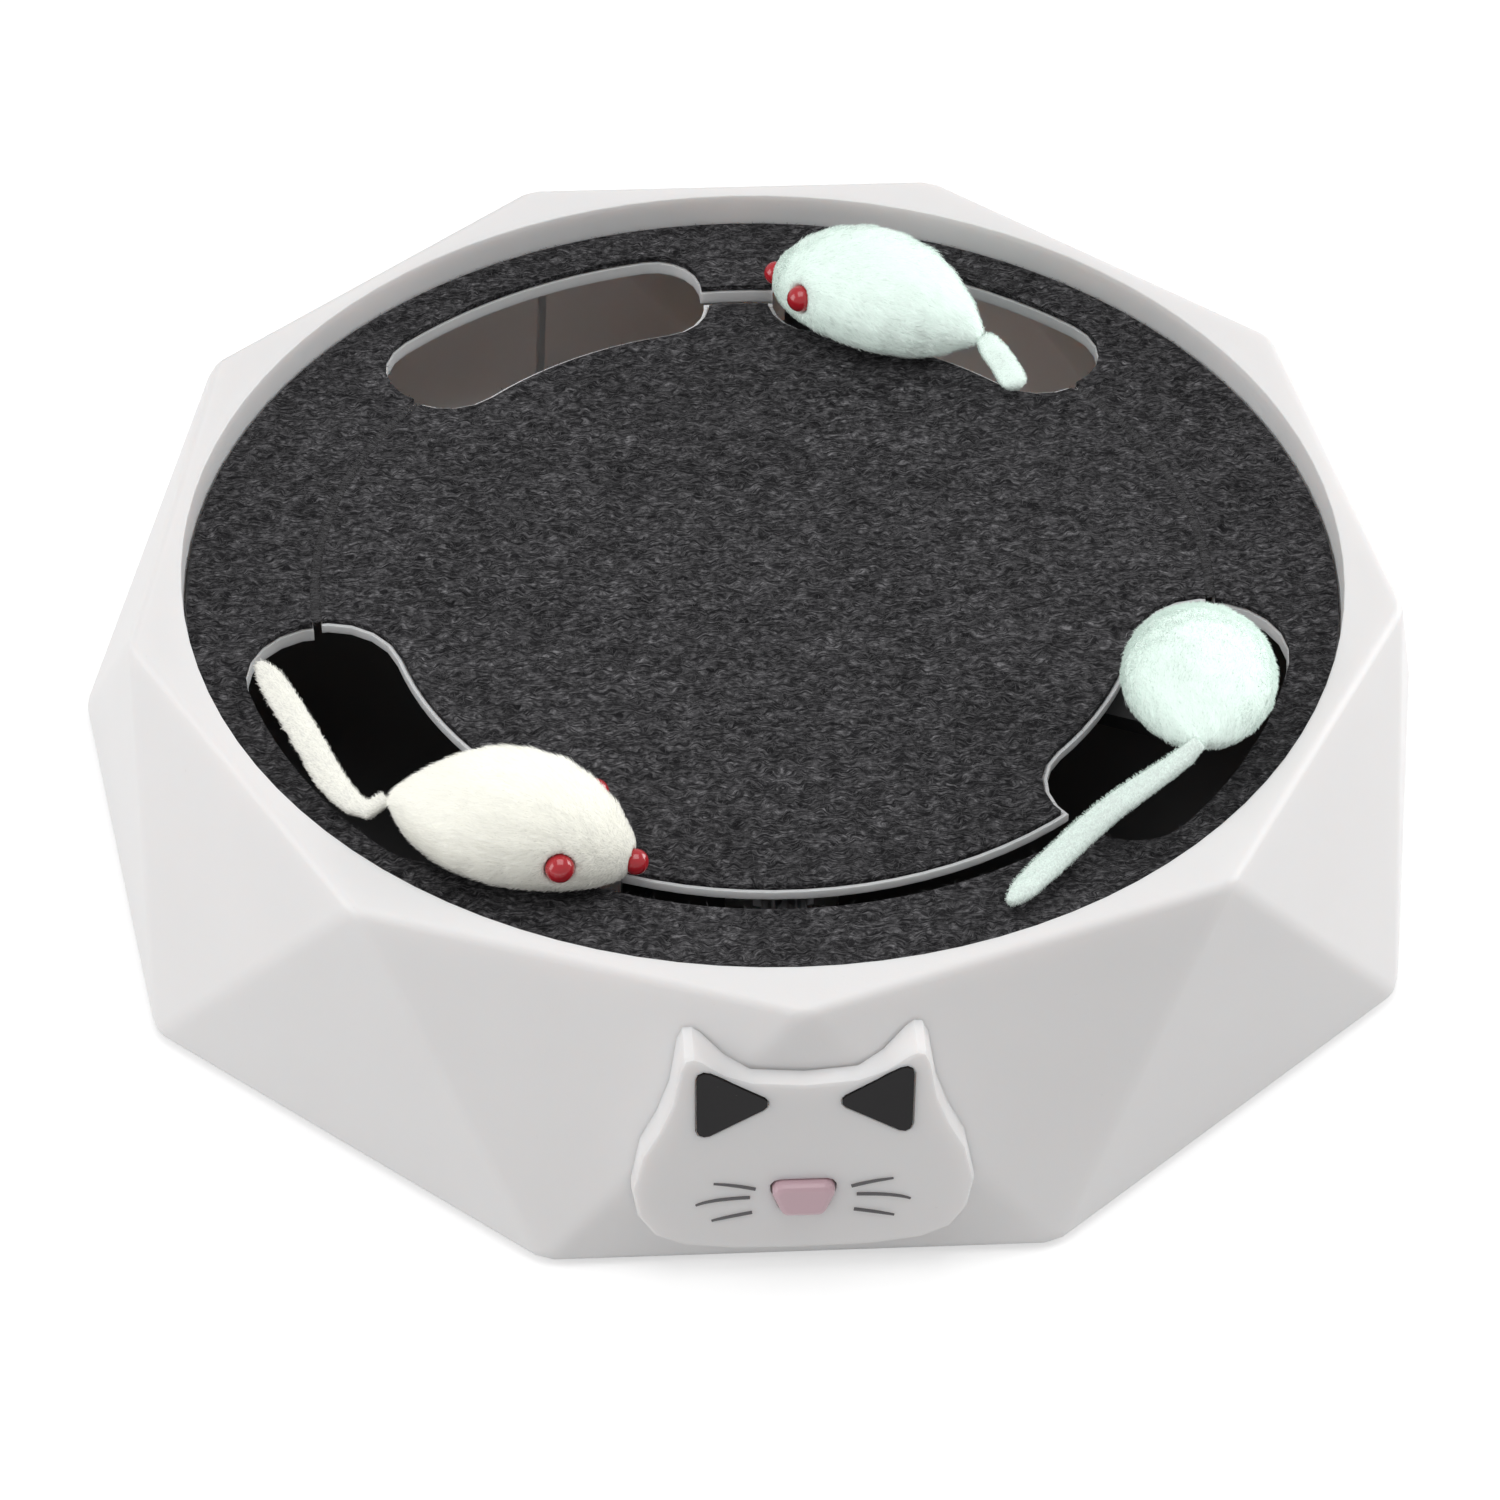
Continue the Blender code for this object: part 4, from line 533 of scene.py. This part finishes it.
def board_lacquer(colours):
    """A circuit board: green lacquer over raised copper tracks, with tinned pads."""
    made, tree, shader = new_material("board")
    place = add(tree, "TexCoord").outputs["Object"]
    flat = add(tree, "Mapping", {"Vector": place, "Rotation": (math.pi / 2, 0.0, 0.0)}).outputs[0]
    tracks = add(tree, "TexBrick", {
        "Vector": flat, "Color1": (0, 0, 0, 1), "Color2": (0, 0, 0, 1), "Mortar": (1, 1, 1, 1),
        "Scale": 1.0, "Mortar Size": 0.0003, "Mortar Smooth": 0.1, "Brick Width": 0.0074,
        "Row Height": 0.0022}).outputs[0]
    dots = add(tree, "TexVoronoi", {"Vector": flat, "Scale": 210.0, "Randomness": 0.6}).outputs[0]
    pads = maths(tree, "LESS_THAN", dots, 0.16)
    green = blend(tree, tracks, opaque(colours.board), opaque([part * 1.7 for part in colours.board]))
    tree.links.new(blend(tree, pads, green, (0.62, 0.61, 0.58, 1.0)), shader.inputs["Base Color"])
    tree.links.new(pads, shader.inputs["Metallic"])
    shader.inputs["Roughness"].default_value = 0.35
    shader.inputs["Coat Weight"].default_value = 0.4
    bump(tree, shader, tracks, 0.00003)
    return made


# Mesh helpers


def only(piece):
    """Make a piece the only selected one, and the active one."""
    bpy.ops.object.select_all(action="DESELECT")
    piece.select_set(True)
    bpy.context.view_layer.objects.active = piece


def take_on(piece, node, finish, body):
    """A finished piece gets its finish, rides on its body and stands for a CAD node."""
    piece.data.materials.clear()
    piece.data.materials.append(finish)
    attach(piece, body)
    if node:
        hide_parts(node)


def cad_copy(node, name):
    """A copy of a CAD node with its loose triangles merged into whole faces."""
    piece = bpy.data.objects.new(name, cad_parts[node].data.copy())
    bpy.context.collection.objects.link(piece)
    only(piece)
    bpy.ops.mesh.customdata_custom_splitnormals_clear()
    bpy.ops.object.mode_set(mode="EDIT")
    bpy.ops.mesh.select_all(action="SELECT")
    bpy.ops.mesh.remove_doubles(threshold=MERGE_DISTANCE)
    bpy.ops.mesh.dissolve_limited(angle_limit=math.radians(FLAT_ANGLE))
    bpy.ops.object.mode_set(mode="OBJECT")
    return piece


def apply_modifier(piece, kind, **settings):
    """Add a modifier to a piece and apply it."""
    only(piece)
    modifier = piece.modifiers.new(kind.title(), kind)
    for name, value in settings.items():
        setattr(modifier, name, value)
    bpy.ops.object.modifier_apply(modifier=modifier.name)


def smooth(piece, degrees=SMOOTH_ANGLE):
    """Smooth shading with sharp edges kept, and flat faces that stay flat."""
    only(piece)
    bpy.ops.object.shade_smooth_by_angle(angle=math.radians(degrees))
    apply_modifier(piece, "WEIGHTED_NORMAL", keep_sharp=True, weight=NORMAL_WEIGHT)


def bevel_where(piece, wanted, width, segments):
    """Round the edges of a piece that a test picks."""
    only(piece)
    mesh = piece.data
    for part in (mesh.polygons, mesh.edges, mesh.vertices):
        part.foreach_set("select", [False] * len(part))
    places = [vertex.co for vertex in mesh.vertices]
    for edge in mesh.edges:
        first, second = edge.vertices
        if wanted(places[first], places[second]):
            edge.select = True
            mesh.vertices[first].select = True
            mesh.vertices[second].select = True
    bpy.ops.object.mode_set(mode="EDIT")
    bpy.ops.mesh.select_mode(type="EDGE")
    bpy.ops.mesh.bevel(offset=width, segments=segments, profile=0.5, affect="EDGES", clamp_overlap=True)
    bpy.ops.object.mode_set(mode="OBJECT")


def unit(vectors):
    """Rows scaled to a length of one."""
    return vectors / np.maximum(np.linalg.norm(vectors, axis=1, keepdims=True), 1e-12)


def level(x, y):
    """Level directions from their parts along X and Y."""
    return np.stack([x, y, np.zeros(len(x))], axis=1)


def laid(flow, normals):
    """Directions turned to lie in the surface."""
    return unit(flow - normals * np.sum(flow * normals, axis=1, keepdims=True))


def raised(flow, normals, lift):
    """Directions that lean out of the surface by an angle."""
    return flow * np.cos(lift) + normals * np.sin(lift)


def rows(items, field, kind=float):
    """A field of three numbers of many mesh items, as rows."""
    values = np.empty(len(items) * 3, kind)
    items.foreach_get(field, values)
    return values.reshape(-1, 3)


def scatter(piece, count, rng, facing=None):
    """Random places on a mesh, or on its faces that face one way, with their normals and the area."""
    mesh = piece.data
    mesh.calc_loop_triangles()
    corners = rows(mesh.loop_triangles, "vertices", np.int32)
    places = rows(mesh.vertices, "co")
    normals = rows(mesh.vertices, "normal")
    first, second, third = (places[corners[:, k]] for k in range(3))
    cross = np.cross(second - first, third - first)
    area = np.linalg.norm(cross, axis=1) / 2
    if facing is not None:
        area = np.where(unit(cross) @ facing > 0.9, area, 0.0)
    picked = rng.choice(len(corners), count, p=area / area.sum())
    u, v = rng.random(count), rng.random(count)
    over = u + v > 1
    u[over], v[over] = 1 - u[over], 1 - v[over]
    shares = np.stack([1 - u - v, u, v], axis=1)
    spots = np.einsum("nk,nkd->nd", shares, places[corners[picked]])
    if facing is not None:
        return spots, np.tile(facing, (count, 1)), area.sum()
    return spots, unit(np.einsum("nk,nkd->nd", shares, normals[corners[picked]])), area.sum()


def waves(spots, size, seed):
    """A smooth random value from -1 to 1 for each place, from a few waves of about one size."""
    rng = np.random.default_rng(seed)
    total = np.zeros(len(spots))
    for _ in range(WAVE_COUNT):
        way = rng.normal(size=3)
        way *= rng.uniform(0.6, 1.5) * math.tau / size / np.linalg.norm(way)
        total += np.sin(spots @ way + rng.uniform(0, math.tau))
    return total / WAVE_COUNT


def ribbons(name, roots, middles, tips, sides, widths, normals, chance):
    """One mesh of flat strands, each with a root, a bend and a pointed tip."""
    half = sides * widths[:, None] / 2
    bend = half * STRAND_BEND_WIDTH
    places = np.stack([roots + half, roots - half, middles - bend, middles + bend, tips], axis=1)
    count = len(roots)
    start = np.arange(count)[:, None] * STRAND_POINTS
    faces = (start + np.array([0, 1, 2, 3])).tolist() + (start + np.array([3, 2, 4])).tolist()
    mesh = bpy.data.meshes.new(name)
    mesh.from_pydata(places.reshape(-1, 3).tolist(), [], faces)
    along = np.tile(STRAND_PLACES, count)
    none = np.zeros(len(along))
    values = np.stack([along, np.repeat(chance, STRAND_POINTS), none, none + 1.0], axis=1)
    strand = mesh.color_attributes.new("strand", "FLOAT_COLOR", "POINT")
    strand.data.foreach_set("color", values.astype(np.float32).ravel())
    mesh.polygons.foreach_set("use_smooth", [True] * len(mesh.polygons))
    mesh.normals_split_custom_set_from_vertices(np.repeat(normals, STRAND_POINTS, axis=0).tolist())
    piece = bpy.data.objects.new(name, mesh)
    bpy.context.collection.objects.link(piece)
    return piece


# Pieces


def build_housing(sizes, colours):
    """Shell and deck in moulded white plastic, with rounded edges."""
    white = white_plastic(colours)
    shell = cad_copy("outer_shell", "shell")
    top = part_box("outer_shell")[1].z
    ring_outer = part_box("deck_ring")[1].x

    def on_rim(first, second):
        return all(abs(place.z - top) < TOP_REACH
                   and abs(Vector((place.x, place.y)).length - ring_outer) < RIM_REACH
                   for place in (first, second))

    bevel_where(shell, on_rim, sizes.rim_bevel, 4)
    smooth(shell)
    take_on(shell, "outer_shell", white, HOUSING)
    for node, name in (("deck_disc", "deck_inner"), ("deck_ring", "deck_outer")):
        deck = cad_copy(node, name)
        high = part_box(node)[1].z

        def on_edge(first, second):
            return abs(first.z - high) < TOP_REACH and abs(second.z - high) < TOP_REACH

        bevel_where(deck, on_edge, sizes.edge_bevel, 2)
        smooth(deck)
        take_on(deck, node, white, HOUSING)


def nap(surface, name, sizes, rng, quick):
    """Loose fibres that lie nearly flat on the felt."""
    area = scatter(surface, 1, np.random.default_rng(1), UP)[2]
    count = int(area * 1e6 * sizes.nap_density * (QUICK_NAP_SHARE if quick else 1.0))
    roots, normals, _ = scatter(surface, count, rng, UP)
    turn = rng.uniform(0, math.tau, count)
    bend = turn + rng.normal(0, 0.7, count)
    reach = sizes.nap_length * rng.uniform(0.35, 1.0, count) / 2
    rise = np.abs(rng.normal(0, 0.00010, count)) + 0.00003
    first = level(np.cos(turn), np.sin(turn))
    second = level(np.cos(bend), np.sin(bend))
    middles = roots + first * reach[:, None] + UP * rise[:, None]
    tips = middles + second * reach[:, None] - UP * (rise * rng.uniform(0.0, 1.0, count))[:, None]
    sides = np.cross(normals, first)
    widths = sizes.nap_width * rng.uniform(0.6, 1.3, count)
    return ribbons(name, roots, middles, tips, sides, widths, normals, rng.random(count))


def slot_brush(sizes, rng):
    """Fibres from both edges of the felt that close the slot where it is narrow."""
    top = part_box("felt_disc")[1].z
    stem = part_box("stem_a")
    circle = Vector(((stem[0].x + stem[1].x) / 2, (stem[0].y + stem[1].y) / 2)).length
    span = math.radians(NARROW_SLOT[1] - NARROW_SLOT[0])
    # As many on the left as on the right of the toy, and from the inner felt as from the outer
    count = 4 * int(circle * span / sizes.brush_spacing)
    angle = math.radians(NARROW_SLOT[0]) + span * rng.random(count)
    angle = np.where(np.arange(count) % 2 == 0, angle, -angle)
    way = np.where(np.arange(count) // 2 % 2 == 0, 1.0, -1.0)
    out = level(np.sin(angle), -np.cos(angle))
    along = level(np.cos(angle), np.sin(angle))
    drift = rng.normal(0, 0.35, count)
    heading = unit(out * way[:, None] + along * drift[:, None])
    depth = rng.uniform(0.00002, 0.0005, count)
    reach = HALF_GAP * rng.uniform(1.2, 2.3, count)
    roots = out * (circle - way * (HALF_GAP + BRUSH_ROOT))[:, None]
    roots[:, 2] = top - depth
    middles = roots + heading * (reach * 0.7)[:, None] + UP * (depth * 0.7)[:, None]
    tips = middles + heading * (reach * 0.7)[:, None] - UP * (depth * 0.4)[:, None]
    normals = np.tile(UP, (count, 1))
    sides = np.cross(normals, heading)
    widths = sizes.nap_width * rng.uniform(1.2, 2.4, count)
    return ribbons("slot_brush", roots, middles, tips, sides, widths, normals, rng.random(count))


def build_felt(sizes, colours):
    """Two pads of felt with loose fibres, and the brush over the slot."""
    finish = felt(colours)
    # The loose fibres take painted shade at their roots: 0.6 of their colour where they meet the felt
    fibre = pile("felt_fibre", [part * 0.40 for part in colours.fleck], 0.6, 0.0, 0.7)
    for index, (node, word) in enumerate((("felt_disc", "inner"), ("felt_ring", "outer"))):
        pad = cad_copy(node, f"felt_{word}")
        smooth(pad)
        take_on(pad, node, finish, HOUSING)
        fibres = nap(pad, f"felt_{word}_nap", sizes, np.random.default_rng(20 + index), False)
        take_on(fibres, None, fibre, HOUSING)
        if word == "inner":
            area = scatter(pad, 1, np.random.default_rng(1), UP)[2]
    brush = slot_brush(sizes, np.random.default_rng(31))
    take_on(brush, None, fibre, HOUSING)


def on_facet(across, up, out):
    """A place measured from the foot of the front facet."""
    return FACET_FOOT + Vector((across, 0.0, 0.0)) + FACET_UP * up + FACET_OUT * out


def whisker(name, places, radius, front):
    """A bent whisker with a thinner tip, half sunk in the plate."""
    bpy.ops.curve.primitive_nurbs_path_add()
    piece = bpy.context.object
    piece.name = name
    curve = piece.data
    curve.splines.clear()
    line = curve.splines.new("NURBS")
    line.points.add(len(places) - 1)
    for point, spot, share in zip(line.points, places, WHISKER_SHARES):
        point.co = (*on_facet(*spot, front), 1.0)
        point.radius = share
    line.order_u = 3
    line.use_endpoint_u = True
    line.resolution_u = 10
    curve.bevel_depth = radius
    curve.bevel_resolution = 4
    curve.use_fill_caps = True
    bpy.ops.object.convert(target="MESH")
    smooth(piece, WHISKER_SMOOTH_ANGLE)
    return piece


def build_face(sizes, colours):
    """The cat-face plate, its ears and whiskers, and the nose button."""
    white = white_plastic(colours)
    ear = plastic("ear_plastic", colours.ear, 0.60, grain=1800.0, depth=0.00003, shine=0.3)
    pink = plastic("pink_plastic", colours.pink, 0.32, grain=1500.0, depth=0.00001, coat=0.25)
    jobs = (("cat_face_plate", "face_plate", white, "white_plastic", HOUSING),
            ("left_ear_inset", "ear_left", ear, "ear_plastic", HOUSING),
            ("right_ear_inset", "ear_right", ear, "ear_plastic", HOUSING),
            ("nose_button", "button_cap", pink, "pink_plastic", "button"))
    for node, name, finish, slot_name, body in jobs:
        piece = cad_copy(node, name)
        if node == "nose_button":
            face = max((vertex.co - FACET_FOOT).dot(FACET_OUT) for vertex in piece.data.vertices)

            def on_front(first, second):
                return all((place - FACET_FOOT).dot(FACET_OUT) > face - BUTTON_EDGE_DEPTH
                           for place in (first, second))

            bevel_where(piece, on_front, sizes.button_bevel, 4)
        smooth(piece)
        take_on(piece, node, finish, body)
    grey = plastic("whisker_plastic", colours.whisker, 0.5, grain=1800.0, depth=0.00001)
    for side, word in ((-1, "left"), (1, "right")):
        for index, spots in enumerate(WHISKERS):
            made = whisker(f"whisker_{word}_{index + 1}", [(side * across, up) for across, up in spots],
                           sizes.whisker_radius, PLATE_FRONT)
            take_on(made, None, grey, HOUSING)


def middle_of(node):
    """The centre of a CAD node's box."""
    low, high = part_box(node)
    return np.array((low + high) / 2)


def fur(surface, name, sizes, beads, nose, back, rng, quick):
    """Tufts that lie from the nose to the rump, short round the face and long on the back."""
    count = sizes.fur_count // (QUICK_FUR_DIVISOR if quick else 1)
    roots, normals, _ = scatter(surface, int(count * 1.25), rng)
    keep = normals[:, 2] > rng.uniform(-0.75, -0.35, len(roots))
    roots, normals = roots[keep][:count], normals[keep][:count]
    count = len(roots)
    from_nose = np.linalg.norm(roots - nose, axis=1)
    reach = sizes.fur_length * np.clip(0.35 + from_nose / FUR_GROWTH, 0.35, 1.0)
    reach *= rng.uniform(0.75, 1.1, count)
    reach *= 1.0 + 0.22 * waves(roots, 0.006, 5)
    reach *= np.clip(0.75 + 0.5 * normals[:, 2], 0.35, 1.0)
    for centre, radius in beads:
        gap = np.linalg.norm(roots - centre, axis=1) - radius
        reach *= np.clip(gap / BEAD_CLEARING, 0.0, 1.0) ** 0.7
    flow = unit(roots - nose) * 0.45 + back * 0.8
    swirl = np.stack([waves(roots, 0.009, 6 + k) for k in range(3)], axis=1)
    clump = np.stack([waves(roots, 0.0026, 16 + k) for k in range(3)], axis=1)
    flow = flow + swirl * 0.45 + clump * 0.35 + rng.normal(0, 0.24, (count, 3))
    flow = laid(flow - UP * 0.25, normals)
    lift = np.clip(rng.normal(0.52, 0.16, count) + 0.25 * waves(roots, 0.0035, 25), 0.12, 1.0)[:, None]
    middles = roots + raised(flow, normals, lift) * reach[:, None] * 0.5
    tips = middles + raised(flow, normals, lift * 0.35) * reach[:, None] * 0.55
    sides = unit(np.cross(normals, flow) + rng.normal(0, 0.25, (count, 3)))
    shading = unit(normals + flow * -0.12 + rng.normal(0, 0.13, (count, 3)))
    widths = sizes.fur_width * rng.uniform(0.7, 1.3, count)
    live = reach > SHORTEST_TUFT
    return ribbons(name, roots[live], middles[live], tips[live], sides[live], widths[live], shading[live],
                   rng.random(int(live.sum())))


def tail_fur(surface, name, sizes, back, rng, quick):
    """Short tufts along a tail."""
    count = sizes.tail_fur_count // (QUICK_FUR_DIVISOR if quick else 1)
    roots, normals, _ = scatter(surface, count, rng)
    reach = sizes.tail_fur_length * rng.uniform(0.6, 1.1, count)
    reach *= np.clip(0.8 + 0.5 * normals[:, 2], 0.3, 1.0)
    flow = laid(back + rng.normal(0, 0.4, (count, 3)), normals)
    lift = np.clip(rng.normal(0.7, 0.2, count), 0.2, 1.2)[:, None]
    middles = roots + raised(flow, normals, lift) * reach[:, None] * 0.5
    tips = middles + raised(flow, normals, lift * 0.4) * reach[:, None] * 0.5
    sides = np.cross(normals, flow)
    shading = unit(normals + rng.normal(0, 0.13, (count, 3)))
    widths = sizes.fur_width * 0.8 * rng.uniform(0.7, 1.3, count)
    return ribbons(name, roots, middles, tips, sides, widths, shading, rng.random(count))


def bead(node, name, finish, body):
    """A round glossy bead in the place of a coarse CAD one."""
    low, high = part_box(node)
    bpy.ops.mesh.primitive_uv_sphere_add(segments=40, ring_count=20, radius=(high.z - low.z) / 2,
                                         location=(low + high) / 2)
    piece = bpy.context.object
    piece.name = name
    bpy.ops.object.transform_apply(location=True, rotation=False, scale=False)
    bpy.ops.object.shade_smooth()
    take_on(piece, node, finish, body)


def plush_skin(node, name, voxel, rounds):
    """A copy of a CAD node with an even mesh and softened edges."""
    piece = cad_copy(node, name)
    apply_modifier(piece, "REMESH", mode="VOXEL", voxel_size=voxel)
    apply_modifier(piece, "SMOOTH", factor=0.5, iterations=rounds)
    only(piece)
    bpy.ops.object.shade_smooth()
    return piece


def build_mice(sizes, colours):
    """Three plush mice: a stuffed body and tail under their pile, and glossy beads."""
    red = plastic("red_bead", colours.red, 0.16, grain=700.0, scuffs=0.2, depth=0.000004, coat=0.8)
    for index, letter in enumerate(MICE):
        word = "cream" if letter == "a" else "mint"
        tone = getattr(colours, word)
        coat = pile(f"{word}_plush", tone, 1.0, 0.35)
        cloth = backing(f"{word}_backing", tone)
        body = f"mouse_{letter}"
        beads = []
        for part in ("nose", "left_eye", "right_eye"):
            bead(f"{body}_{part}", f"{body}_{part}_bead", red, body)
            low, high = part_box(f"{body}_{part}")
            beads.append((middle_of(f"{body}_{part}"), (high.z - low.z) / 2))
        nose = beads[0][0]
        skin = plush_skin(f"{body}_body", f"{body}_skin", sizes.remesh, 6)
        take_on(skin, f"{body}_body", cloth, body)
        back = unit((middle_of(f"{body}_body") - nose)[None, :])[0]
        rng = np.random.default_rng(40 + index)
        # The tufts cast no shadow, because they would shade each other until pale plush looked grey
        hair = fur(skin, f"{body}_fur", sizes, beads, nose, back, rng, False)
        hair.visible_shadow = False
        take_on(hair, None, coat, body)
        tail = plush_skin(f"{body}_tail", f"{body}_tail_skin", sizes.remesh * 0.6, 4)
        take_on(tail, f"{body}_tail", cloth, body)
        hair = tail_fur(tail, f"{body}_tail_fur", sizes, back, rng, False)
        hair.visible_shadow = False
        take_on(hair, None, coat, body)


def build_inside(colours):
    """Finishes for the CAD pieces that are shown as they are."""
    dark = plastic("dark_plastic", colours.dark, 0.55, grain=1500.0, depth=0.00004)
    nylon = plastic("nylon", colours.nylon, 0.45, grain=1900.0, depth=0.00001)
    rubber = plastic("rubber", colours.rubber, 0.8, grain=1200.0, scuffs=0.8, depth=0.00006)
    steel = metal("steel", colours.steel, 0.32)
    can = metal("motor_can", colours.steel, 0.28)
    wrap = cell_wrap(colours)
    lacquer = board_lacquer(colours)
    finishes = {
        "base_plate": dark, "battery_door": dark, "rotor_spider": dark, "push_switch": dark,
        "drive_gear": nylon, "idler_gear": nylon, "centre_post": nylon, "motor_bracket": nylon,
        "idler_pin": steel, "motor_pinion": steel, "thrust_washer": steel, "retaining_clip": steel,
        "centre_screw": steel, "contact_plate_left": steel, "contact_plate_right": steel,
        "motor": can, "circuit_board": lacquer,
    }
    finishes.update({f"housing_screw_{index}": steel for index in range(1, 6)})
    finishes.update({f"stem_{letter}": steel for letter in MICE})
    finishes.update({f"battery_{index}": wrap for index in range(1, 4)})
    finishes.update({f"rubber_foot_{index}": rubber for index in range(1, 5)})
    for node, finish in finishes.items():
        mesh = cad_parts[node].data
        mesh.materials.clear()
        mesh.materials.append(finish)
    left = [name for name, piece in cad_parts.items()
            if not piece.hide_render and name not in finishes]
    if left:
        raise RuntimeError(f"these CAD pieces have no finish yet: {left}")


# Stage


def stage_floor(stage):
    """A pale floor that keeps the object's shadow and reads as white in the picture."""
    bpy.ops.mesh.primitive_plane_add(size=stage.floor_size)
    floor = bpy.context.object
    floor.name = "stage_floor"
    made = bpy.data.materials.new("stage_floor")
    made.use_nodes = True
    tree = made.node_tree
    tree.nodes.clear()
    shade = stage.floor_shade
    ground = add(tree, "BsdfDiffuse", {"Color": (shade, shade, shade, 1.0)})
    rays = add(tree, "LightPath").outputs
    seen = maths(tree, "MAXIMUM", rays["Is Camera Ray"], rays["Is Glossy Ray"])
    seen = maths(tree, "MAXIMUM", seen, rays["Is Transmission Ray"])
    glow = add(tree, "Emission", {"Color": (1.0, 1.0, 1.0, 1.0),
                                  "Strength": times(tree, seen, stage.floor_glow)})
    both = add(tree, "AddShader", {0: ground.outputs[0], 1: glow.outputs[0]})
    add(tree, "OutputMaterial", {"Surface": both.outputs[0]})
    floor.data.materials.append(made)
    floor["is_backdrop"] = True


def stage_world(stage):
    """Even light from all round, and white where it is seen."""
    world = bpy.data.worlds.new("stage_world")
    bpy.context.scene.world = world
    world.use_nodes = True
    tree = world.node_tree
    tree.nodes.clear()
    rays = add(tree, "LightPath").outputs
    seen = maths(tree, "MAXIMUM", rays["Is Camera Ray"], rays["Is Transmission Ray"])
    strength = spread(tree, seen, 0.0, 1.0, stage.sky, 1.0)
    light = add(tree, "Background", {"Color": (1.0, 1.0, 1.0, 1.0), "Strength": strength})
    add(tree, "OutputWorld", {"Surface": light.outputs[0]})


def area_light(name, place, target, size, power):
    """A soft square lamp that faces a point."""
    lamp = bpy.data.lights.new(name, "AREA")
    lamp.shape = "SQUARE"
    lamp.size = size
    lamp.energy = power
    made = bpy.data.objects.new(name, lamp)
    bpy.context.collection.objects.link(made)
    made.location = place
    made.rotation_euler = (Vector(target) - Vector(place)).to_track_quat("-Z", "Y").to_euler()


def build_stage(stage):
    """Floor, surroundings, lamps and camera."""
    stage_floor(stage)
    stage_world(stage)
    for name, place, size, power, share in LAMPS:
        area_light(name, place, LAMP_TARGET, size, getattr(stage, power) * share)
    camera = bpy.data.objects.new("camera", bpy.data.cameras.new("camera"))
    bpy.context.collection.objects.link(camera)
    camera.data.lens = CAMERA_LENS
    camera.data.clip_start = CAMERA_NEAR
    columns = (Vector(CAMERA_RIGHT), Vector(CAMERA_UP), Vector(CAMERA_BACK))
    camera.matrix_world = Matrix.Translation(CAMERA_PLACE) @ Matrix(columns).transposed().to_4x4()
    scene = bpy.context.scene
    scene.camera = camera
    scene.view_settings.view_transform = "Standard"


# Add-on


class CATTOY_OT_housing(bpy.types.Operator):
    """Build the shell and the deck"""

    bl_idname = "cattoy.housing"
    bl_label = "Housing and deck"

    def execute(self, context):
        build_housing(context.scene.cat_toy_sizes, context.scene.cat_toy_colours)
        return {"FINISHED"}


class CATTOY_OT_felt(bpy.types.Operator):
    """Build the felt pads with their nap"""

    bl_idname = "cattoy.felt"
    bl_label = "Felt"

    def execute(self, context):
        build_felt(context.scene.cat_toy_sizes, context.scene.cat_toy_colours)
        return {"FINISHED"}


class CATTOY_OT_face(bpy.types.Operator):
    """Build the cat-face plate with its ears, whiskers and nose button"""

    bl_idname = "cattoy.face"
    bl_label = "Cat face"

    def execute(self, context):
        build_face(context.scene.cat_toy_sizes, context.scene.cat_toy_colours)
        return {"FINISHED"}


class CATTOY_OT_mice(bpy.types.Operator):
    """Build the three plush mice"""

    bl_idname = "cattoy.mice"
    bl_label = "Mice"

    def execute(self, context):
        build_mice(context.scene.cat_toy_sizes, context.scene.cat_toy_colours)
        return {"FINISHED"}


class CATTOY_OT_inside(bpy.types.Operator):
    """Give the drive, the base and the battery pieces their finishes"""

    bl_idname = "cattoy.inside"
    bl_label = "Drive and base"

    def execute(self, context):
        build_inside(context.scene.cat_toy_colours)
        return {"FINISHED"}


class CATTOY_OT_stage(bpy.types.Operator):
    """Build the floor, the lights and the camera"""

    bl_idname = "cattoy.stage"
    bl_label = "Stage"

    def execute(self, context):
        build_stage(context.scene.cat_toy_stage)
        return {"FINISHED"}


OPERATORS = (
    CATTOY_OT_housing,
    CATTOY_OT_felt,
    CATTOY_OT_face,
    CATTOY_OT_mice,
    CATTOY_OT_inside,
    CATTOY_OT_stage,
)


class CATTOY_PT_panel(bpy.types.Panel):
    """Lists the steps that build the toy's looks"""

    bl_label = "Cat Toy"
    bl_idname = "CATTOY_PT_panel"
    bl_space_type = "VIEW_3D"
    bl_region_type = "UI"
    bl_category = "Cat Toy"

    def draw(self, context):
        for operator in OPERATORS:
            self.layout.operator(operator.bl_idname)


GROUPS = (
    ("cat_toy_sizes", CatToySizes),
    ("cat_toy_colours", CatToyColours),
    ("cat_toy_stage", CatToyStage),
)


def register():
    for name, kind in GROUPS:
        bpy.utils.register_class(kind)
        setattr(bpy.types.Scene, name, bpy.props.PointerProperty(type=kind))
    for kind in OPERATORS + (CATTOY_PT_panel,):
        bpy.utils.register_class(kind)


def unregister():
    for kind in (CATTOY_PT_panel,) + OPERATORS[::-1]:
        bpy.utils.unregister_class(kind)
    for name, kind in GROUPS[::-1]:
        delattr(bpy.types.Scene, name)
        bpy.utils.unregister_class(kind)


def corners():
    """The shown object's lowest and highest corner as plain lists."""
    return [list(corner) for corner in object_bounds()]


def main():
    register()
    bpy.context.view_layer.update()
    bpy.ops.cattoy.housing()
    bpy.ops.cattoy.felt()
    bpy.ops.cattoy.face()
    bpy.ops.cattoy.mice()
    bpy.ops.cattoy.inside()
    bpy.ops.cattoy.stage()


if __name__ == "__main__":
    main()
